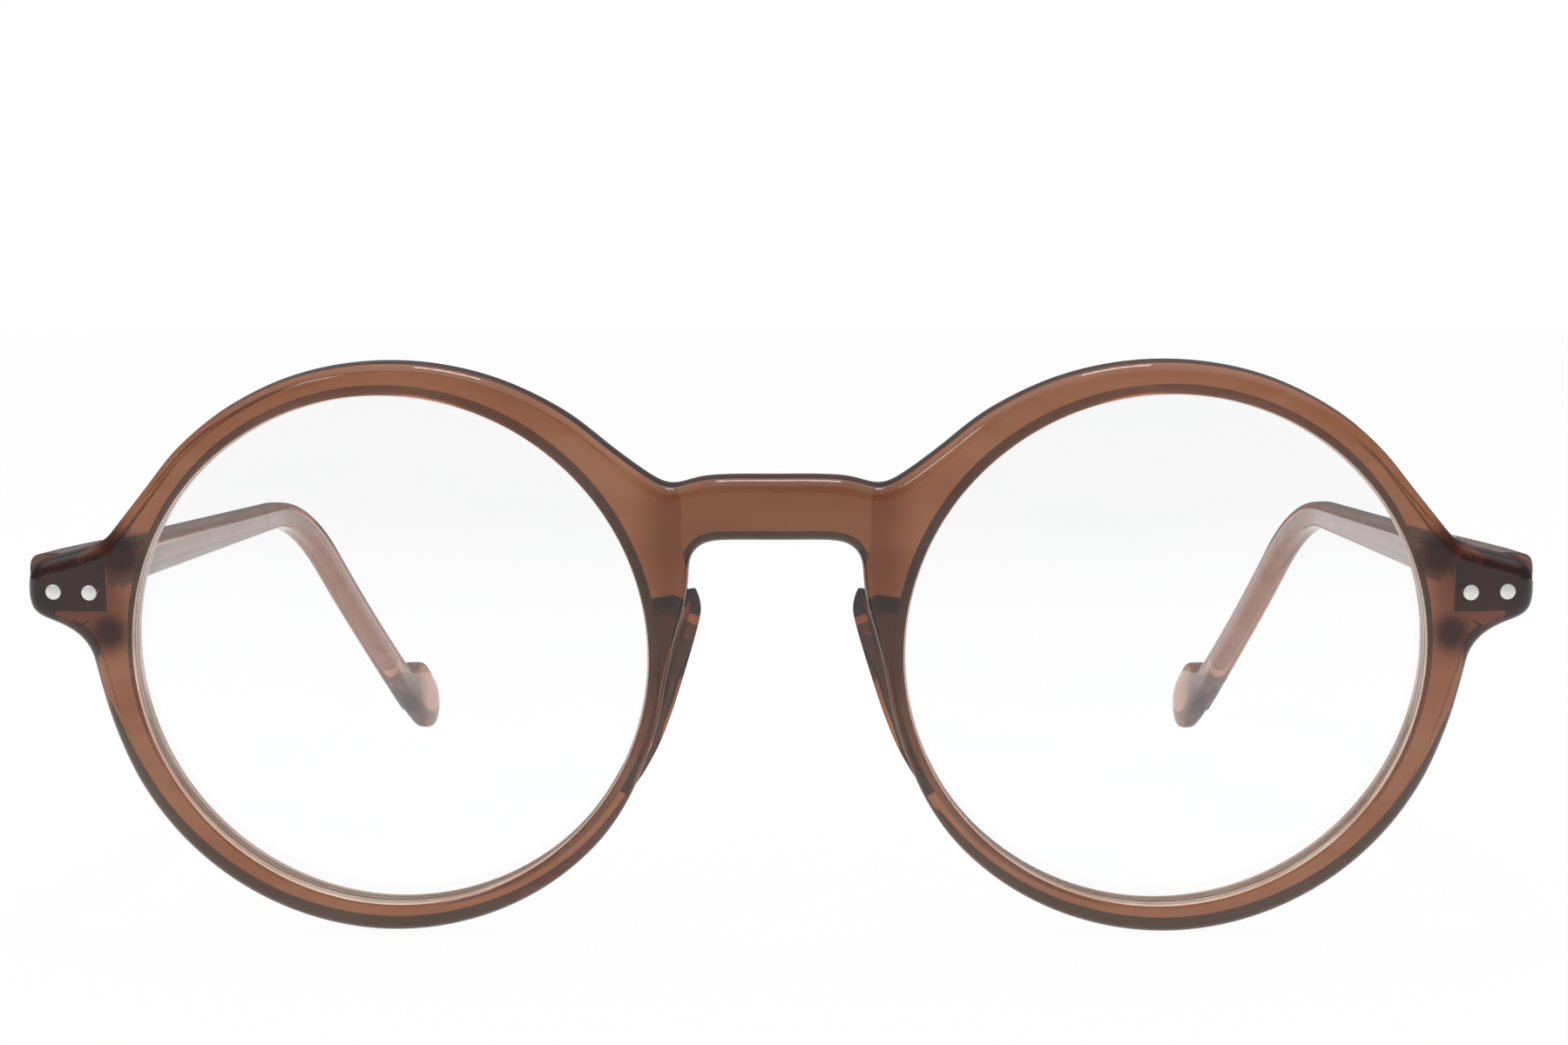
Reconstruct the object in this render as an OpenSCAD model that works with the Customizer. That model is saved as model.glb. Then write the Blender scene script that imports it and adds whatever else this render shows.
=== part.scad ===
// Round full-rim eyeglasses with a keyhole bridge.
// The front is one curved plate with two grooved rims. Each lens sits in its
// groove, each nose pad is glued behind the rim, and each temple turns on a
// five-knuckle hinge whose two leaves are riveted into pockets.
// World frame: +Z is up, the front faces -Y, and the temples run to +Y.
// The glasses stand on the bottoms of the rims and on the temple tips.
// Each side is modelled once at +X, the wearer's left, and mirrored to -X.

/* [Lenses] */
// Diameter of a lens at the tip of its bevel
lens_d = 49; // [47:0.5:51]
// Distance between the two lenses across the nose
lens_gap = 21.5; // [20.5:0.25:22.5]
// Thickness of a lens
lens_t = 1.8; // [1.4:0.1:2.2]
// Radius of the lens surfaces
lens_curve_r = 160; // [120:5:260]
// Height of the bevel round a lens
bevel_h = 0.75; // [0.6:0.05:0.9]
// Clearance between the bevel and its groove
groove_clear = 0.05; // [0.02:0.01:0.1]

/* [Front] */
// Thickness of the front
front_t = 4.2; // [3.8:0.1:4.8]
// Radius to which the front is curved
front_curve_r = 580; // [450:10:800]
// Angle by which the top of the front leans forward
front_tilt = 7; // [4:0.5:9]
// Face width of the rim at its top
rim_top_w = 2.8; // [2.4:0.05:3.2]
// Face width of the rim beside the bridge
rim_brow_w = 4.1; // [3.7:0.1:4.5]
// Face width of the rim at its outer side
rim_side_w = 3.45; // [3.1:0.05:3.8]
// Face width of the rim at its bottom
rim_bottom_w = 2.75; // [2.3:0.05:3.2]
// Face width of the rim beside the nose
rim_nose_w = 1.5; // [1.4:0.05:2]

/* [Bridge] */
// Height of the bridge top above the lens centres
bridge_top = 16.3; // [15.7:0.1:16.9]
// Height of the bridge underside above the lens centres
bridge_under = 10.6; // [9.9:0.1:11.2]
// Depth of the dip where the bridge meets a rim
saddle_dip = 0.9; // [0.4:0.1:1.3]
// Width of the keyhole at its widest
keyhole_w = 15.8; // [15:0.1:16.8]
// Depth milled off the back of the bridge
bridge_relief = 0.9; // [0.5:0.1:1.4]
// Width of the milled part of the bridge
bridge_relief_w = 17.2; // [16:0.2:18.4]

/* [Nose pads] */
// Least distance between the two nose pads
pad_gap = 14; // [13.4:0.1:14.8]
// Height of a nose pad behind the front
pad_h = 4.6; // [3.5:0.1:5.6]
// Height of a pad's top end above the lens centres
pad_top = 5.4; // [4.8:0.1:5.8]
// Depth of a pad's bottom end below the lens centres
pad_bottom = 14.2; // [13:0.1:15.4]
// How far a pad's bottom end lies outside the least distance
pad_spread = 6.3; // [5.9:0.1:6.7]
// Height of a pad at its two thin ends
pad_thin = 0.5; // [0.4:0.05:0.8]
// Size of the rounded edges of a pad
pad_round = 0.5; // [0.3:0.05:0.6]
// Distance from the lens opening to a pad
pad_inset = 0.6; // [0.3:0.1:0.8]
// Slope of a pad's nose side, as spread per height
pad_splay = 0.3; // [0.1:0.05:0.4]
// Thickness of the glue between a pad and the front
glue_t = 0.02; // [0.01:0.01:0.05]

/* [Endpieces] */
// How far an endpiece stands out past the lens opening
end_reach = 9.9; // [9.3:0.05:10.6]
// Height of an endpiece at its outer end
end_h = 5.2; // [4.9:0.1:5.6]
// Height of the hinge above the lens centres
hinge_v = 5.2; // [4.8:0.1:5.7]
// Width of the mitre between endpiece and temple
mitre = 1.6; // [1.2:0.1:1.8]
// Gap between endpiece and temple
butt_gap = 0.08; // [0.05:0.01:0.15]

/* [Hinges] */
// Distance from the outer end of the front to the hinge pin
pin_inset = 5.3; // [5.1:0.05:5.5]
// Distance of the hinge pin behind the endpiece
pin_back = 1.7; // [1.6:0.05:2]
// Radius of a knuckle
knuckle_r = 1.3; // [1.1:0.05:1.4]
// Height of the whole knuckle stack
knuckle_stack_h = 4.3; // [3.8:0.1:4.6]
// Gap between two knuckles
knuckle_gap = 0.05; // [0.03:0.01:0.08]
// Radius of the hinge screw
screw_r = 0.7; // [0.6:0.05:0.75]
// Running clearance round the screw
screw_clear = 0.02; // [0.01:0.01:0.05]
// Radius of the screw head
screw_head_r = 1.15; // [1:0.05:1.25]
// Height of the screw head
screw_head_h = 0.45; // [0.3:0.05:0.6]
// Thickness of a hinge leaf
leaf_t = 1; // [0.8:0.05:1.2]
// Height of a hinge leaf
leaf_h = 4.2; // [3.8:0.1:4.4]
// Length of the leaf in the front
front_leaf_l = 5.4; // [5.2:0.1:5.6]
// Length of the leaf in a temple
temple_leaf_l = 9.6; // [9:0.1:10.6]
// Clearance between a leaf and its pocket
pocket_clear = 0.05; // [0.03:0.01:0.1]

/* [Rivets] */
// Radius of a rivet
rivet_r = 0.72; // [0.6:0.02:0.76]
// Distance between the two rivets of a leaf
rivet_pitch = 3.4; // [3.2:0.05:3.5]
// Clearance round a rivet
rivet_clear = 0.02; // [0.01:0.01:0.05]
// Height of a rivet's domed end
rivet_dome = 0.15; // [0.08:0.01:0.25]

/* [Temples] */
// Length of a temple from the hinge pin to the bend
temple_straight = 95; // [90:0.5:100]
// Thickness of a temple beside the hinge
temple_t = 3.5; // [3.3:0.05:3.6]
// Thickness of a temple from the bend on
temple_bend_t = 3; // [2.8:0.05:3.3]
// Height of a temple at the hinge
temple_butt_h = 5.2; // [5:0.1:5.6]
// Height of a temple a third of the way to the bend
temple_mid_h = 4.3; // [4:0.1:5]
// Height of a temple at the bend
temple_bend_h = 3; // [2.8:0.1:3.5]
// Height of the temple's flared tip
tip_h = 7.3; // [6.4:0.1:8]
// Length of the flared tip
tip_l = 13.5; // [12.5:0.5:16]
// Radius of the bend behind the ear
bend_r = 34; // [26:0.5:38]
// Angle of the drop behind the ear
drop_angle = 38; // [34:0.5:42]
// Angle by which a temple slopes down to its bend
temple_slope = 0.2; // [0:0.1:0.8]
// Angle by which a temple leans in towards the other
temple_lean = 3.4; // [2.6:0.1:4.4]
// Distance that the tip curves inwards
tip_in = 9; // [7:0.1:10]

/* [Core wires] */
// Radius of the wire inside a temple
wire_r = 0.65; // [0.5:0.05:0.8]
// Clearance round the wire
wire_clear = 0.05; // [0.03:0.01:0.08]
// Distance from the hinge pin to the front end of the wire
wire_start = 12; // [11:0.5:14]
// Distance from the rear end of the wire to the temple's end
wire_end = 16.5; // [15.5:0.5:20]

/* [Tip inlays] */
// Length of the inlay in a temple tip
inlay_l = 7; // [6:0.1:7.6]
// Width of the inlay
inlay_w = 2.4; // [2:0.1:2.8]
// Thickness of the inlay
inlay_t = 0.7; // [0.5:0.05:0.9]
// Distance from the inlay's middle to the temple's end
inlay_back = 9; // [8.4:0.1:9.6]

/* [Hidden] */
// Facets round large curved faces and round small ones
shell_fn = 720;
lens_fn = 180;
small_fn = 40;
// Oversize of a cutting shape past what it cuts
over = 1;

// Lens opening, the place of the lens centres and half the front's width
open_r = lens_d / 2 - bevel_h;
lens_x = (lens_d + lens_gap) / 2;
end_x = lens_x + open_r + end_reach;
inner_r = front_curve_r - front_t;
lens_turn = asin(lens_x / (front_curve_r - front_t / 2));
lens_y = front_curve_r - (front_curve_r - front_t / 2) * cos(lens_turn);
// Height at which the keyhole is widest, and how far below it the relief reaches
keyhole_v = bridge_under - 2.4;
relief_below = 1.6;

// Depth of the front's front and back faces at distance u from the middle
function front_y(u) = front_curve_r - sqrt(pow(front_curve_r, 2) - u * u);
function back_y(u) = front_curve_r - sqrt(inner_r * inner_r - u * u);

// A smooth curve through points, whose first and last points only guide it
function blend(a, b, c, d, t) = 0.5 * (2 * b + (c - a) * t
    + (2 * a - 5 * b + 4 * c - d) * t * t + (3 * b - a - 3 * c + d) * t * t * t);
function smooth(p, n) = [for (i = [1 : len(p) - 3]) for (j = [0 : n - 1])
    blend(p[i - 1], p[i], p[i + 1], p[i + 2], j / n)];
function flip(p) = [-p[0], p[1]];

// Rim face width by direction, 0 outwards and 90 up, and a rim edge point
rim_table = [[-158, rim_nose_w], [-138, (rim_nose_w + rim_bottom_w) / 2], [-90, rim_bottom_w],
    [-45, (rim_bottom_w + 2 * rim_side_w) / 3], [-12, rim_side_w],
    [38, rim_top_w + 0.2], [62, rim_top_w], [90, rim_top_w],
    [105, rim_top_w + 0.3], [120, (rim_top_w + rim_brow_w) / 2], [138, rim_brow_w]];
function rim_at(a) = [lens_x, 0] + (open_r + lookup(a, rim_table)) * [cos(a), sin(a)];

// Half of the front's outline, from the top of the bridge to its underside
end_top = hinge_v + end_h / 2;
end_low = hinge_v - end_h / 2;
brow = rim_at(138);
saddle = [brow[0] - 5.1, bridge_top - saddle_dip];
bridge_edge = [[0, bridge_top], [saddle[0] * 0.42, bridge_top],
    [saddle[0] * 0.72, bridge_top - saddle_dip * 0.22], saddle,
    saddle + (brow - saddle) * 0.4 + [0, -0.3]];
rim_upper = [for (a = [138, 126, 112, 98, 84, 70, 56, 44, 33]) rim_at(a)];
end_edge = [[lens_x, 0] + (open_r + rim_side_w + 0.4) * [cos(24), sin(24)],
    [end_x - 7.2, end_top + 2], [end_x - 5.3, end_top + 1.2], [end_x - 3.2, end_top + 0.55],
    [end_x - 1.3, end_top], [end_x - 0.35, end_top - 0.5], [end_x, end_top - 1.6],
    [end_x, end_low + 1.6], [end_x - 0.35, end_low + 0.5], [end_x - 1.3, end_low],
    [end_x - 3.2, end_low - 0.7], [end_x - 4.7, end_low - 1.65], [end_x - 5.75, end_low - 3.1],
    [lens_x, 0] + (open_r + rim_side_w + 0.35) * [cos(-5.5), sin(-5.5)]];
rim_lower = [for (a = [-16, -28, -40, -52, -64, -76, -88, -100, -112, -124, -136, -147]) rim_at(a)];
nose_edge = [rim_at(-158), rim_at(-167), rim_at(-175) - [0.1, 0],
    [keyhole_w / 2 + 1.3, 1.2], [keyhole_w / 2 + 0.45, 4.2], [keyhole_w / 2, keyhole_v - 1.2],
    [keyhole_w / 2, keyhole_v], [keyhole_w / 2 - 0.35, keyhole_v + 1.3],
    [keyhole_w / 2 - 1.5, keyhole_v + 2.2], [keyhole_w / 2 - 3.4, bridge_under],
    [0, bridge_under]];
half_path = concat(bridge_edge, rim_upper, end_edge, rim_lower, nose_edge);
half_edge = concat(smooth(concat([flip(half_path[1])], half_path,
    [flip(half_path[len(half_path) - 2])]), 4), [[0, bridge_under]]);
front_edge = concat(half_edge, [for (i = [len(half_edge) - 2 : -1 : 1]) flip(half_edge[i])]);

// Turns of a point about X and Z
function turn_x(a, p) = [p[0], p[1] * cos(a) - p[2] * sin(a), p[1] * sin(a) + p[2] * cos(a)];
function turn_z(a, p) = [p[0] * cos(a) - p[1] * sin(a), p[0] * sin(a) + p[1] * cos(a), p[2]];

// How far the front leaf reaches from the pin, outwards to the mitre and inwards,
// and how far its flat seat reaches inwards
leaf_margin = 0.25;
seat_margin = 1.25;
leaf_out = pin_inset - mitre - leaf_margin;
leaf_in = front_leaf_l - leaf_out;
seat_in = leaf_in + seat_margin;

// Hinge pin on the front, before the front is tilted
pin_x = end_x - pin_inset;
flat_x = pin_x - seat_in;
flat_y = back_y(flat_x) + (pin_x - flat_x) * tan(temple_lean);
pin_y = flat_y + pin_back / cos(temple_lean);

// The front edge's points in the world, and the lift that sets it on the floor
edge_world = [for (p = front_edge) turn_x(front_tilt, [p[0], front_y(p[0]), p[1]])];
lift = -min([for (p = edge_world) p[2]]);

// Section of a temple at length s from the hinge pin: path, height and side
turn_total = drop_angle - temple_slope;
straight_l = temple_straight - bend_r * tan(turn_total / 2);
bend_l = bend_r * turn_total * PI / 180;
function path_angle(s) = temple_slope + turn_total * min(1, max(0, (s - straight_l) / bend_l));
function path_yz(s) = let (a = path_angle(s), b = min(s, straight_l),
    e = [straight_l * cos(temple_slope), -straight_l * sin(temple_slope)],
    f = e + bend_r * [sin(a) - sin(temple_slope), cos(a) - cos(temple_slope)])
    s <= straight_l ? b * [cos(temple_slope), -sin(temple_slope)]
    : f + max(0, s - straight_l - bend_l) * [cos(a), -sin(a)];
// Half height and thickness, rounded end, flare, sideways curve and corners at length s
function ease(t) = t <= 0 ? 0 : t >= 1 ? 1 : t * t * (3 - 2 * t);
function half_h(s) = lookup(s, [[-5, temple_butt_h / 2], [3, temple_butt_h / 2],
    [temple_straight * 0.32, temple_mid_h / 2], [straight_l, temple_bend_h / 2],
    [straight_l + bend_l, temple_bend_h / 2 + 0.15]]);
function half_t(s) = lookup(s, [[temple_leaf_l, temple_t / 2], [straight_l, temple_bend_t / 2]]);
function round_off(s, l) = s > l - tip_h / 2
    ? sqrt(max(0.001, 1 - pow((s - l + tip_h / 2) / (tip_h / 2), 2))) : 1;
function flare(s, l) = ease((s - l + tip_l) / (tip_l * 0.5)) * (tip_h - temple_bend_h - 0.3);
function side_x(s, l) = -tip_in * pow(max(0, (s - straight_l) / (l - straight_l)), 1.4);
side_mid = pin_inset - temple_t / 2;
ring_n = 20;
function squareness(s, l) = 0.42 + 0.3 * ease((s - l + tip_h) / tip_h);
function ring(s, l) = let (m = path_yz(s), a = path_angle(s), k = round_off(s, l),
    e = squareness(s, l), up = flare(s, l) / 2, d = (half_h(s) + up) * k, q = max(0.12, pow(k, 0.7)))
    [for (i = [0 : ring_n - 1]) let (b = 360 * (i + 0.5) / ring_n,
        cx = sign(cos(b)) * pow(abs(cos(b)), e), cz = sign(sin(b)) * pow(abs(sin(b)), e),
        h = up + cz * d)
        [side_mid + side_x(s, l) + cx * half_t(s) * q, m[0] + h * sin(a), m[1] + h * cos(a)]];

// From a hinge's own frames to the world
function leaf_to_world(p) = turn_x(front_tilt, [pin_x, pin_y, hinge_v]
    + turn_z(temple_lean, turn_x(-front_tilt, p))) + [0, 0, lift];
// A temple is as long as brings its lowest point down to the floor
function low_point(l) = min([for (s = [l - tip_l : 0.5 : l]) for (p = ring(s, l))
    leaf_to_world(p)[2]]);
trial_l = straight_l + bend_l + 30;
temple_l = trial_l + low_point(trial_l) / sin(drop_angle);
tip_world = [for (s = [temple_l - tip_l : 0.5 : temple_l]) for (p = ring(s, temple_l))
    leaf_to_world(p)];

// The frame's origin is midway between the front-most and rear-most points
shift_y = -(min([for (p = edge_world) p[1]]) + max([for (p = tip_world) p[1]])) / 2;

// Places of the rivets and knuckles
rivet_in = (leaf_out - leaf_in - rivet_pitch) / 2;
rivet_margin = 2;
knuckle_h = (knuckle_stack_h - 4 * knuckle_gap) / 5;
function knuckle_z(i) = -knuckle_stack_h / 2 + i * (knuckle_h + knuckle_gap);
temple_side = pin_inset - temple_t;
temple_rivets = [for (i = [1, 0]) temple_leaf_l - knuckle_r - rivet_margin - i * rivet_pitch];

wire_color = [0.62, 0.62, 0.64];
acetate_color = [0.52, 0.34, 0.24];

// Moves what is drawn in the front's own frame to its place
module in_front_frame() {
    translate([0, shift_y, lift]) rotate([front_tilt, 0, 0]) children();
}

// Moves what is drawn round the hinge pin to the +X hinge
module at_hinge() {
    in_front_frame() translate([pin_x, pin_y, hinge_v]) rotate([0, 0, temple_lean]) children();
}

// The same, with the temple's own level line along Y
module along_temple() {
    at_hinge() rotate([-front_tilt, 0, 0]) children();
}

// Draws the -X side from the +X side
module right_side() {
    mirror([1, 0, 0]) children();
}

// Moves what is drawn round +Z to the lens axis, with +Z pointing back
module at_lens() {
    translate([lens_x, lens_y, 0]) rotate([0, 0, lens_turn]) rotate([-90, 0, 0]) children();
}

// A ring of points joined to a closed tube, one ring after another
module tube(rings) {
    n = len(rings[0]);
    m = len(rings);
    points = [for (r = rings) for (p = r) p];
    sides = [for (i = [0 : m - 2]) for (j = [0 : n - 1]) for (h = [0, 1])
        h == 0 ? [i * n + j, i * n + (j + 1) % n, (i + 1) * n + j]
        : [i * n + (j + 1) % n, (i + 1) * n + (j + 1) % n, (i + 1) * n + j]];
    polyhedron(points, concat(sides, [[for (j = [n - 1 : -1 : 0]) j]],
        [[for (j = [0 : n - 1]) (m - 1) * n + j]]));
}

// The outline cut through a shell between two large cylinders
module front_plate() {
    deep = back_y(end_x) + over;
    shell_h = 2 * lens_d;
    intersection() {
        translate([0, deep, 0]) rotate([90, 0, 0]) linear_extrude(deep + over)
            polygon(front_edge);
        translate([0, front_curve_r, -shell_h / 2]) difference() {
            cylinder(h = shell_h, r = front_curve_r, $fn = shell_fn);
            translate([0, 0, -over])
                cylinder(h = shell_h + 2 * over, r = inner_r, $fn = shell_fn);
        }
    }
}

// The lens opening and the groove for its bevel
module lens_cut() {
    groove_r = lens_d / 2 + groove_clear * 1.4;
    groove_w = (groove_r - open_r + over) * lens_t / 2 / bevel_h;
    at_lens() {
        translate([0, 0, -8]) cylinder(h = 16, r = open_r, $fn = lens_fn);
        rotate_extrude($fn = lens_fn) polygon([[groove_r, 0], [open_r - over, groove_w],
            [open_r - over, -groove_w]]);
    }
}

// Flat seat, mitre, leaf pocket and rivet holes at the +X endpiece
module hinge_cut() {
    translate([pin_x, pin_y, hinge_v]) rotate([0, 0, temple_lean]) {
        translate([flat_x - pin_x, -pin_back, -12]) cube([14, 10, 24]);
        translate([0, 0, -12]) linear_extrude(24) polygon([[pin_inset - mitre, -pin_back],
            [pin_inset + over, -pin_back - mitre - over], [pin_inset + over, -pin_back + over],
            [pin_inset - mitre, -pin_back + over]]);
        front_leaf_block(pocket_clear, over, max(leaf_h, knuckle_stack_h));
        for (x = [0, 1]) translate([rivet_in + x * rivet_pitch, 0, 0]) rotate([90, 0, 0])
            cylinder(h = 12, r = rivet_r + rivet_clear, $fn = small_fn);
    }
}

// The relief behind the bridge, from above it down into the keyhole
module bridge_cut() {
    translate([-bridge_relief_w / 2, back_y(0) - bridge_relief, keyhole_v - relief_below])
        cube([bridge_relief_w, front_t, bridge_top + over - keyhole_v + relief_below]);
}

module front_frame() {
    color(acetate_color) in_front_frame() difference() {
        front_plate();
        lens_cut();
        mirror([1, 0, 0]) lens_cut();
        hinge_cut();
        mirror([1, 0, 0]) hinge_cut();
        bridge_cut();
    }
}

// A lens: two round surfaces with a bevel between them
module lens_body() {
    edge_r = open_r - 0.1;
    dip = lens_curve_r - sqrt(lens_curve_r * lens_curve_r - edge_r * edge_r);
    front = [for (i = [0 : 12]) let (r = edge_r * i / 12)
        [r, lens_curve_r - sqrt(lens_curve_r * lens_curve_r - r * r) - dip - lens_t / 2]];
    back = [for (i = [12 : -1 : 0]) front[i] + [0, lens_t]];
    rotate_extrude($fn = lens_fn) polygon(concat(front, [[lens_d / 2, 0]], back));
}

module lens_left() {
    color([0.93, 0.95, 0.96, 0.35]) in_front_frame() at_lens() lens_body();
}

module lens_right() {
    color([0.93, 0.95, 0.96, 0.35]) right_side() in_front_frame() at_lens() lens_body();
}

// Nose side of a pad from its top to its bottom, in the front's plane
// as pairs of a share of its height and a share of its spread
pad_table = [[-0.05, 0.17], [0, 0.07], [0.05, 0.015], [0.1, 0], [0.155, 0.03],
    [0.27, 0.127], [0.44, 0.286], [0.62, 0.468], [0.815, 0.714], [1, 1], [1.11, 1.317]];
pad_path = [for (q = pad_table) [pad_gap / 2 + pad_spread * q[1],
    pad_top - (pad_top + pad_bottom) * q[0]]];
pad_edge = concat(smooth(pad_path, 3), [pad_path[len(pad_path) - 2]]);
pad_n = len(pad_edge);

// One section of a pad, at a share t of its length
function pad_ring(i) = let (q = pad_edge[i], t = i / (pad_n - 1),
    v = q - [lens_x, 0], r = norm(v), e = v / r,
    d = pad_thin + (pad_h - pad_thin) * pow(sin(180 * pow(t, 0.85)), 0.7),
    inner = open_r + pad_inset, w = r - inner,
    g = min(pad_splay * d, w * 0.55), c = min(pad_round, d * 0.4, w * 0.2))
    [for (k = [[inner, 0], [r, 0], [r, pad_thin * 0.3], [r - g * 0.5, d * 0.5],
        [r - g + pad_round * 0.2, d - c], [r - g - c * 0.3, d - c * 0.3], [r - g - c, d],
        [inner + c, d], [inner + c * 0.3, d - c * 0.3], [inner, d - c]])
        let (u = lens_x + e[0] * k[0]) [u, back_y(u) + glue_t + k[1], e[1] * k[0]]];

// A pad is one tube of those sections along the nose side of the rim
module pad_body() {
    tube([for (i = [pad_n - 1 : -1 : 0]) pad_ring(i)]);
}

module nose_pad_left() {
    color(acetate_color * 0.9) in_front_frame() pad_body();
}

module nose_pad_right() {
    color(acetate_color * 0.9) right_side() in_front_frame() pad_body();
}

// The block of the front leaf, grown by a clearance and pushed out at the back
module front_leaf_block(clear, out, h = leaf_h) {
    translate([-leaf_in - clear, -pin_back - leaf_t, -h / 2 - clear])
        cube([front_leaf_l + 2 * clear, leaf_t + out, h + 2 * clear]);
}

module knuckle(i) {
    translate([0, 0, knuckle_z(i)]) cylinder(h = knuckle_h, r = knuckle_r, $fn = small_fn);
}

module pin_bore() {
    translate([0, 0, -knuckle_stack_h]) cylinder(h = 2 * knuckle_stack_h,
        r = screw_r + screw_clear, $fn = small_fn);
}

// The leaf in the front, with the first, third and fifth knuckle
module front_leaf() {
    difference() {
        union() {
            front_leaf_block(0, 0);
            for (i = [0, 2, 4]) {
                knuckle(i);
                translate([-knuckle_r, -pin_back - leaf_t / 2, knuckle_z(i)])
                    cube([2 * knuckle_r, pin_back + leaf_t / 2, knuckle_h]);
            }
        }
        pin_bore();
        for (x = [0, 1]) translate([rivet_in + x * rivet_pitch, 0, 0]) rotate([90, 0, 0])
            cylinder(h = 12, r = rivet_r + rivet_clear, $fn = small_fn);
    }
}

module front_hinge_left() {
    color(wire_color) at_hinge() front_leaf();
}

module front_hinge_right() {
    color(wire_color) right_side() at_hinge() front_leaf();
}

// A rivet along +Z from its flat end to its domed end
module rivet(l) {
    dome = [for (i = [0 : 4]) let (a = 22.5 * i)
        [rivet_r * cos(a), l + rivet_dome * sin(a)]];
    rotate_extrude($fn = small_fn) polygon(concat([[0, 0], [rivet_r, 0]], dome));
}

// Distance from the back of the front leaf to the front face at a rivet
function rivet_l(x) = let (u = pin_x + x * cos(temple_lean))
    (pin_y + x * sin(temple_lean) - front_y(u)) / cos(temple_lean) - pin_back;

module front_rivet_pair() {
    for (k = [0, 1]) let (x = rivet_in + k * rivet_pitch)
        translate([x, -pin_back, 0]) rotate([90, 0, 0]) rivet(rivet_l(x));
}

module front_rivets_left() {
    color([0.85, 0.86, 0.84]) at_hinge() front_rivet_pair();
}

module front_rivets_right() {
    color([0.85, 0.86, 0.84]) right_side() at_hinge() front_rivet_pair();
}

// The screw that is the hinge pin, with a slotted head
module hinge_screw() {
    top = knuckle_stack_h / 2;
    difference() {
        union() {
            translate([0, 0, -top - 0.15]) cylinder(h = 2 * top + 0.2, r = screw_r, $fn = small_fn);
            translate([0, 0, top]) cylinder(h = screw_head_h, r = screw_head_r, $fn = small_fn);
        }
        translate([-screw_head_r - over, -0.16, top + screw_head_h * 0.45])
            cube([2 * screw_head_r + 2 * over, 0.32, 1]);
    }
}

module hinge_screw_left() {
    color(wire_color) at_hinge() hinge_screw();
}

module hinge_screw_right() {
    color(wire_color) right_side() at_hinge() hinge_screw();
}

// Lengths along a temple at which its sections stand
temple_stations = concat([for (s = [-5, 3, 12, 25, 38, 51, 64, 77]) s],
    [for (k = [0 : 8]) straight_l + bend_l * k / 8],
    [for (k = [1 : 3]) let (a = straight_l + bend_l, b = temple_l - tip_l) a + (b - a) * k / 3],
    [for (k = [1 : 8]) temple_l - tip_l + (tip_l - tip_h / 2) * k / 8],
    [for (k = [1 : 7]) temple_l - tip_h / 2 + tip_h / 2 * sin(90 * k / 7)]);

// The leaf in a temple's inner side
module temple_leaf_block(clear, out) {
    translate([temple_side - out, -knuckle_r - clear - (out > 0 ? over : 0), -leaf_h / 2 - clear])
        cube([leaf_t + out, temple_leaf_l + 2 * clear + (out > 0 ? over : 0), leaf_h + 2 * clear]);
}

module temple_rivet_holes() {
    for (y = temple_rivets) translate([0, y, 0]) rotate([0, 90, 0])
        cylinder(h = 12, r = rivet_r + rivet_clear, $fn = small_fn);
}

// A round tube along a temple's middle, for the wire and for its bore
wire_rear = temple_l - wire_end;
wire_stations = concat([wire_start],
    [for (k = [1 : 4]) wire_start + (straight_l - wire_start) * k / 4],
    [for (k = [1 : 8]) straight_l + bend_l * k / 8],
    [for (k = [1 : 3]) let (a = straight_l + bend_l) a + (wire_rear - a) * k / 3]);
function wire_ring(s, r) = let (m = path_yz(s), a = path_angle(s))
    [for (i = [0 : 7]) let (b = 45 * i)
        [side_mid + side_x(s, temple_l) + r * cos(b),
            m[0] + r * sin(b) * sin(a), m[1] + r * sin(b) * cos(a)]];

module wire_tube(r, grow) {
    tube([for (s = wire_stations) wire_ring(s == wire_start ? s - grow
        : s == wire_rear ? s + grow : s, r)]);
}

// Place of the inlay on the outer face of the tip
inlay_s = temple_l - inlay_back;
module at_inlay() {
    m = path_yz(inlay_s);
    a = path_angle(inlay_s);
    translate([side_mid + side_x(inlay_s, temple_l) + half_t(inlay_s), m[0], m[1]])
        rotate([-a, 0, 0]) rotate([0, 0, inlay_turn]) children();
}
inlay_turn = -atan((side_x(inlay_s + 1, temple_l) - side_x(inlay_s - 1, temple_l)) / 2);

// A slab with round ends, lying in the outer face
module inlay_slab(clear, out) {
    r = inlay_w / 2 + clear;
    translate([-inlay_t, 0, 0]) rotate([0, 90, 0]) linear_extrude(inlay_t + out) union() {
        translate([0, -(inlay_l - inlay_w) / 2]) circle(r, $fn = small_fn);
        translate([0, (inlay_l - inlay_w) / 2]) circle(r, $fn = small_fn);
        translate([-r, -(inlay_l - inlay_w) / 2]) square([2 * r, inlay_l - inlay_w]);
    }
}

module temple_body() {
    difference() {
        along_temple() tube([for (s = temple_stations) ring(s, temple_l)]);
        at_hinge() translate([0, 0, -12]) linear_extrude(24) polygon([
            [-4, -pin_back + butt_gap], [pin_inset - mitre + butt_gap * 0.4, -pin_back + butt_gap],
            [pin_inset + 4, -pin_back - mitre - 4 + butt_gap * 1.4],
            [pin_inset + 4, -14], [-4, -14]]);
        along_temple() temple_leaf_block(pocket_clear, over);
        along_temple() temple_rivet_holes();
        along_temple() wire_tube(wire_r + wire_clear, wire_clear);
        along_temple() at_inlay() inlay_slab(pocket_clear, over);
    }
}

module temple_left() {
    color(acetate_color) temple_body();
}

module temple_right() {
    color(acetate_color) right_side() temple_body();
}

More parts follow.
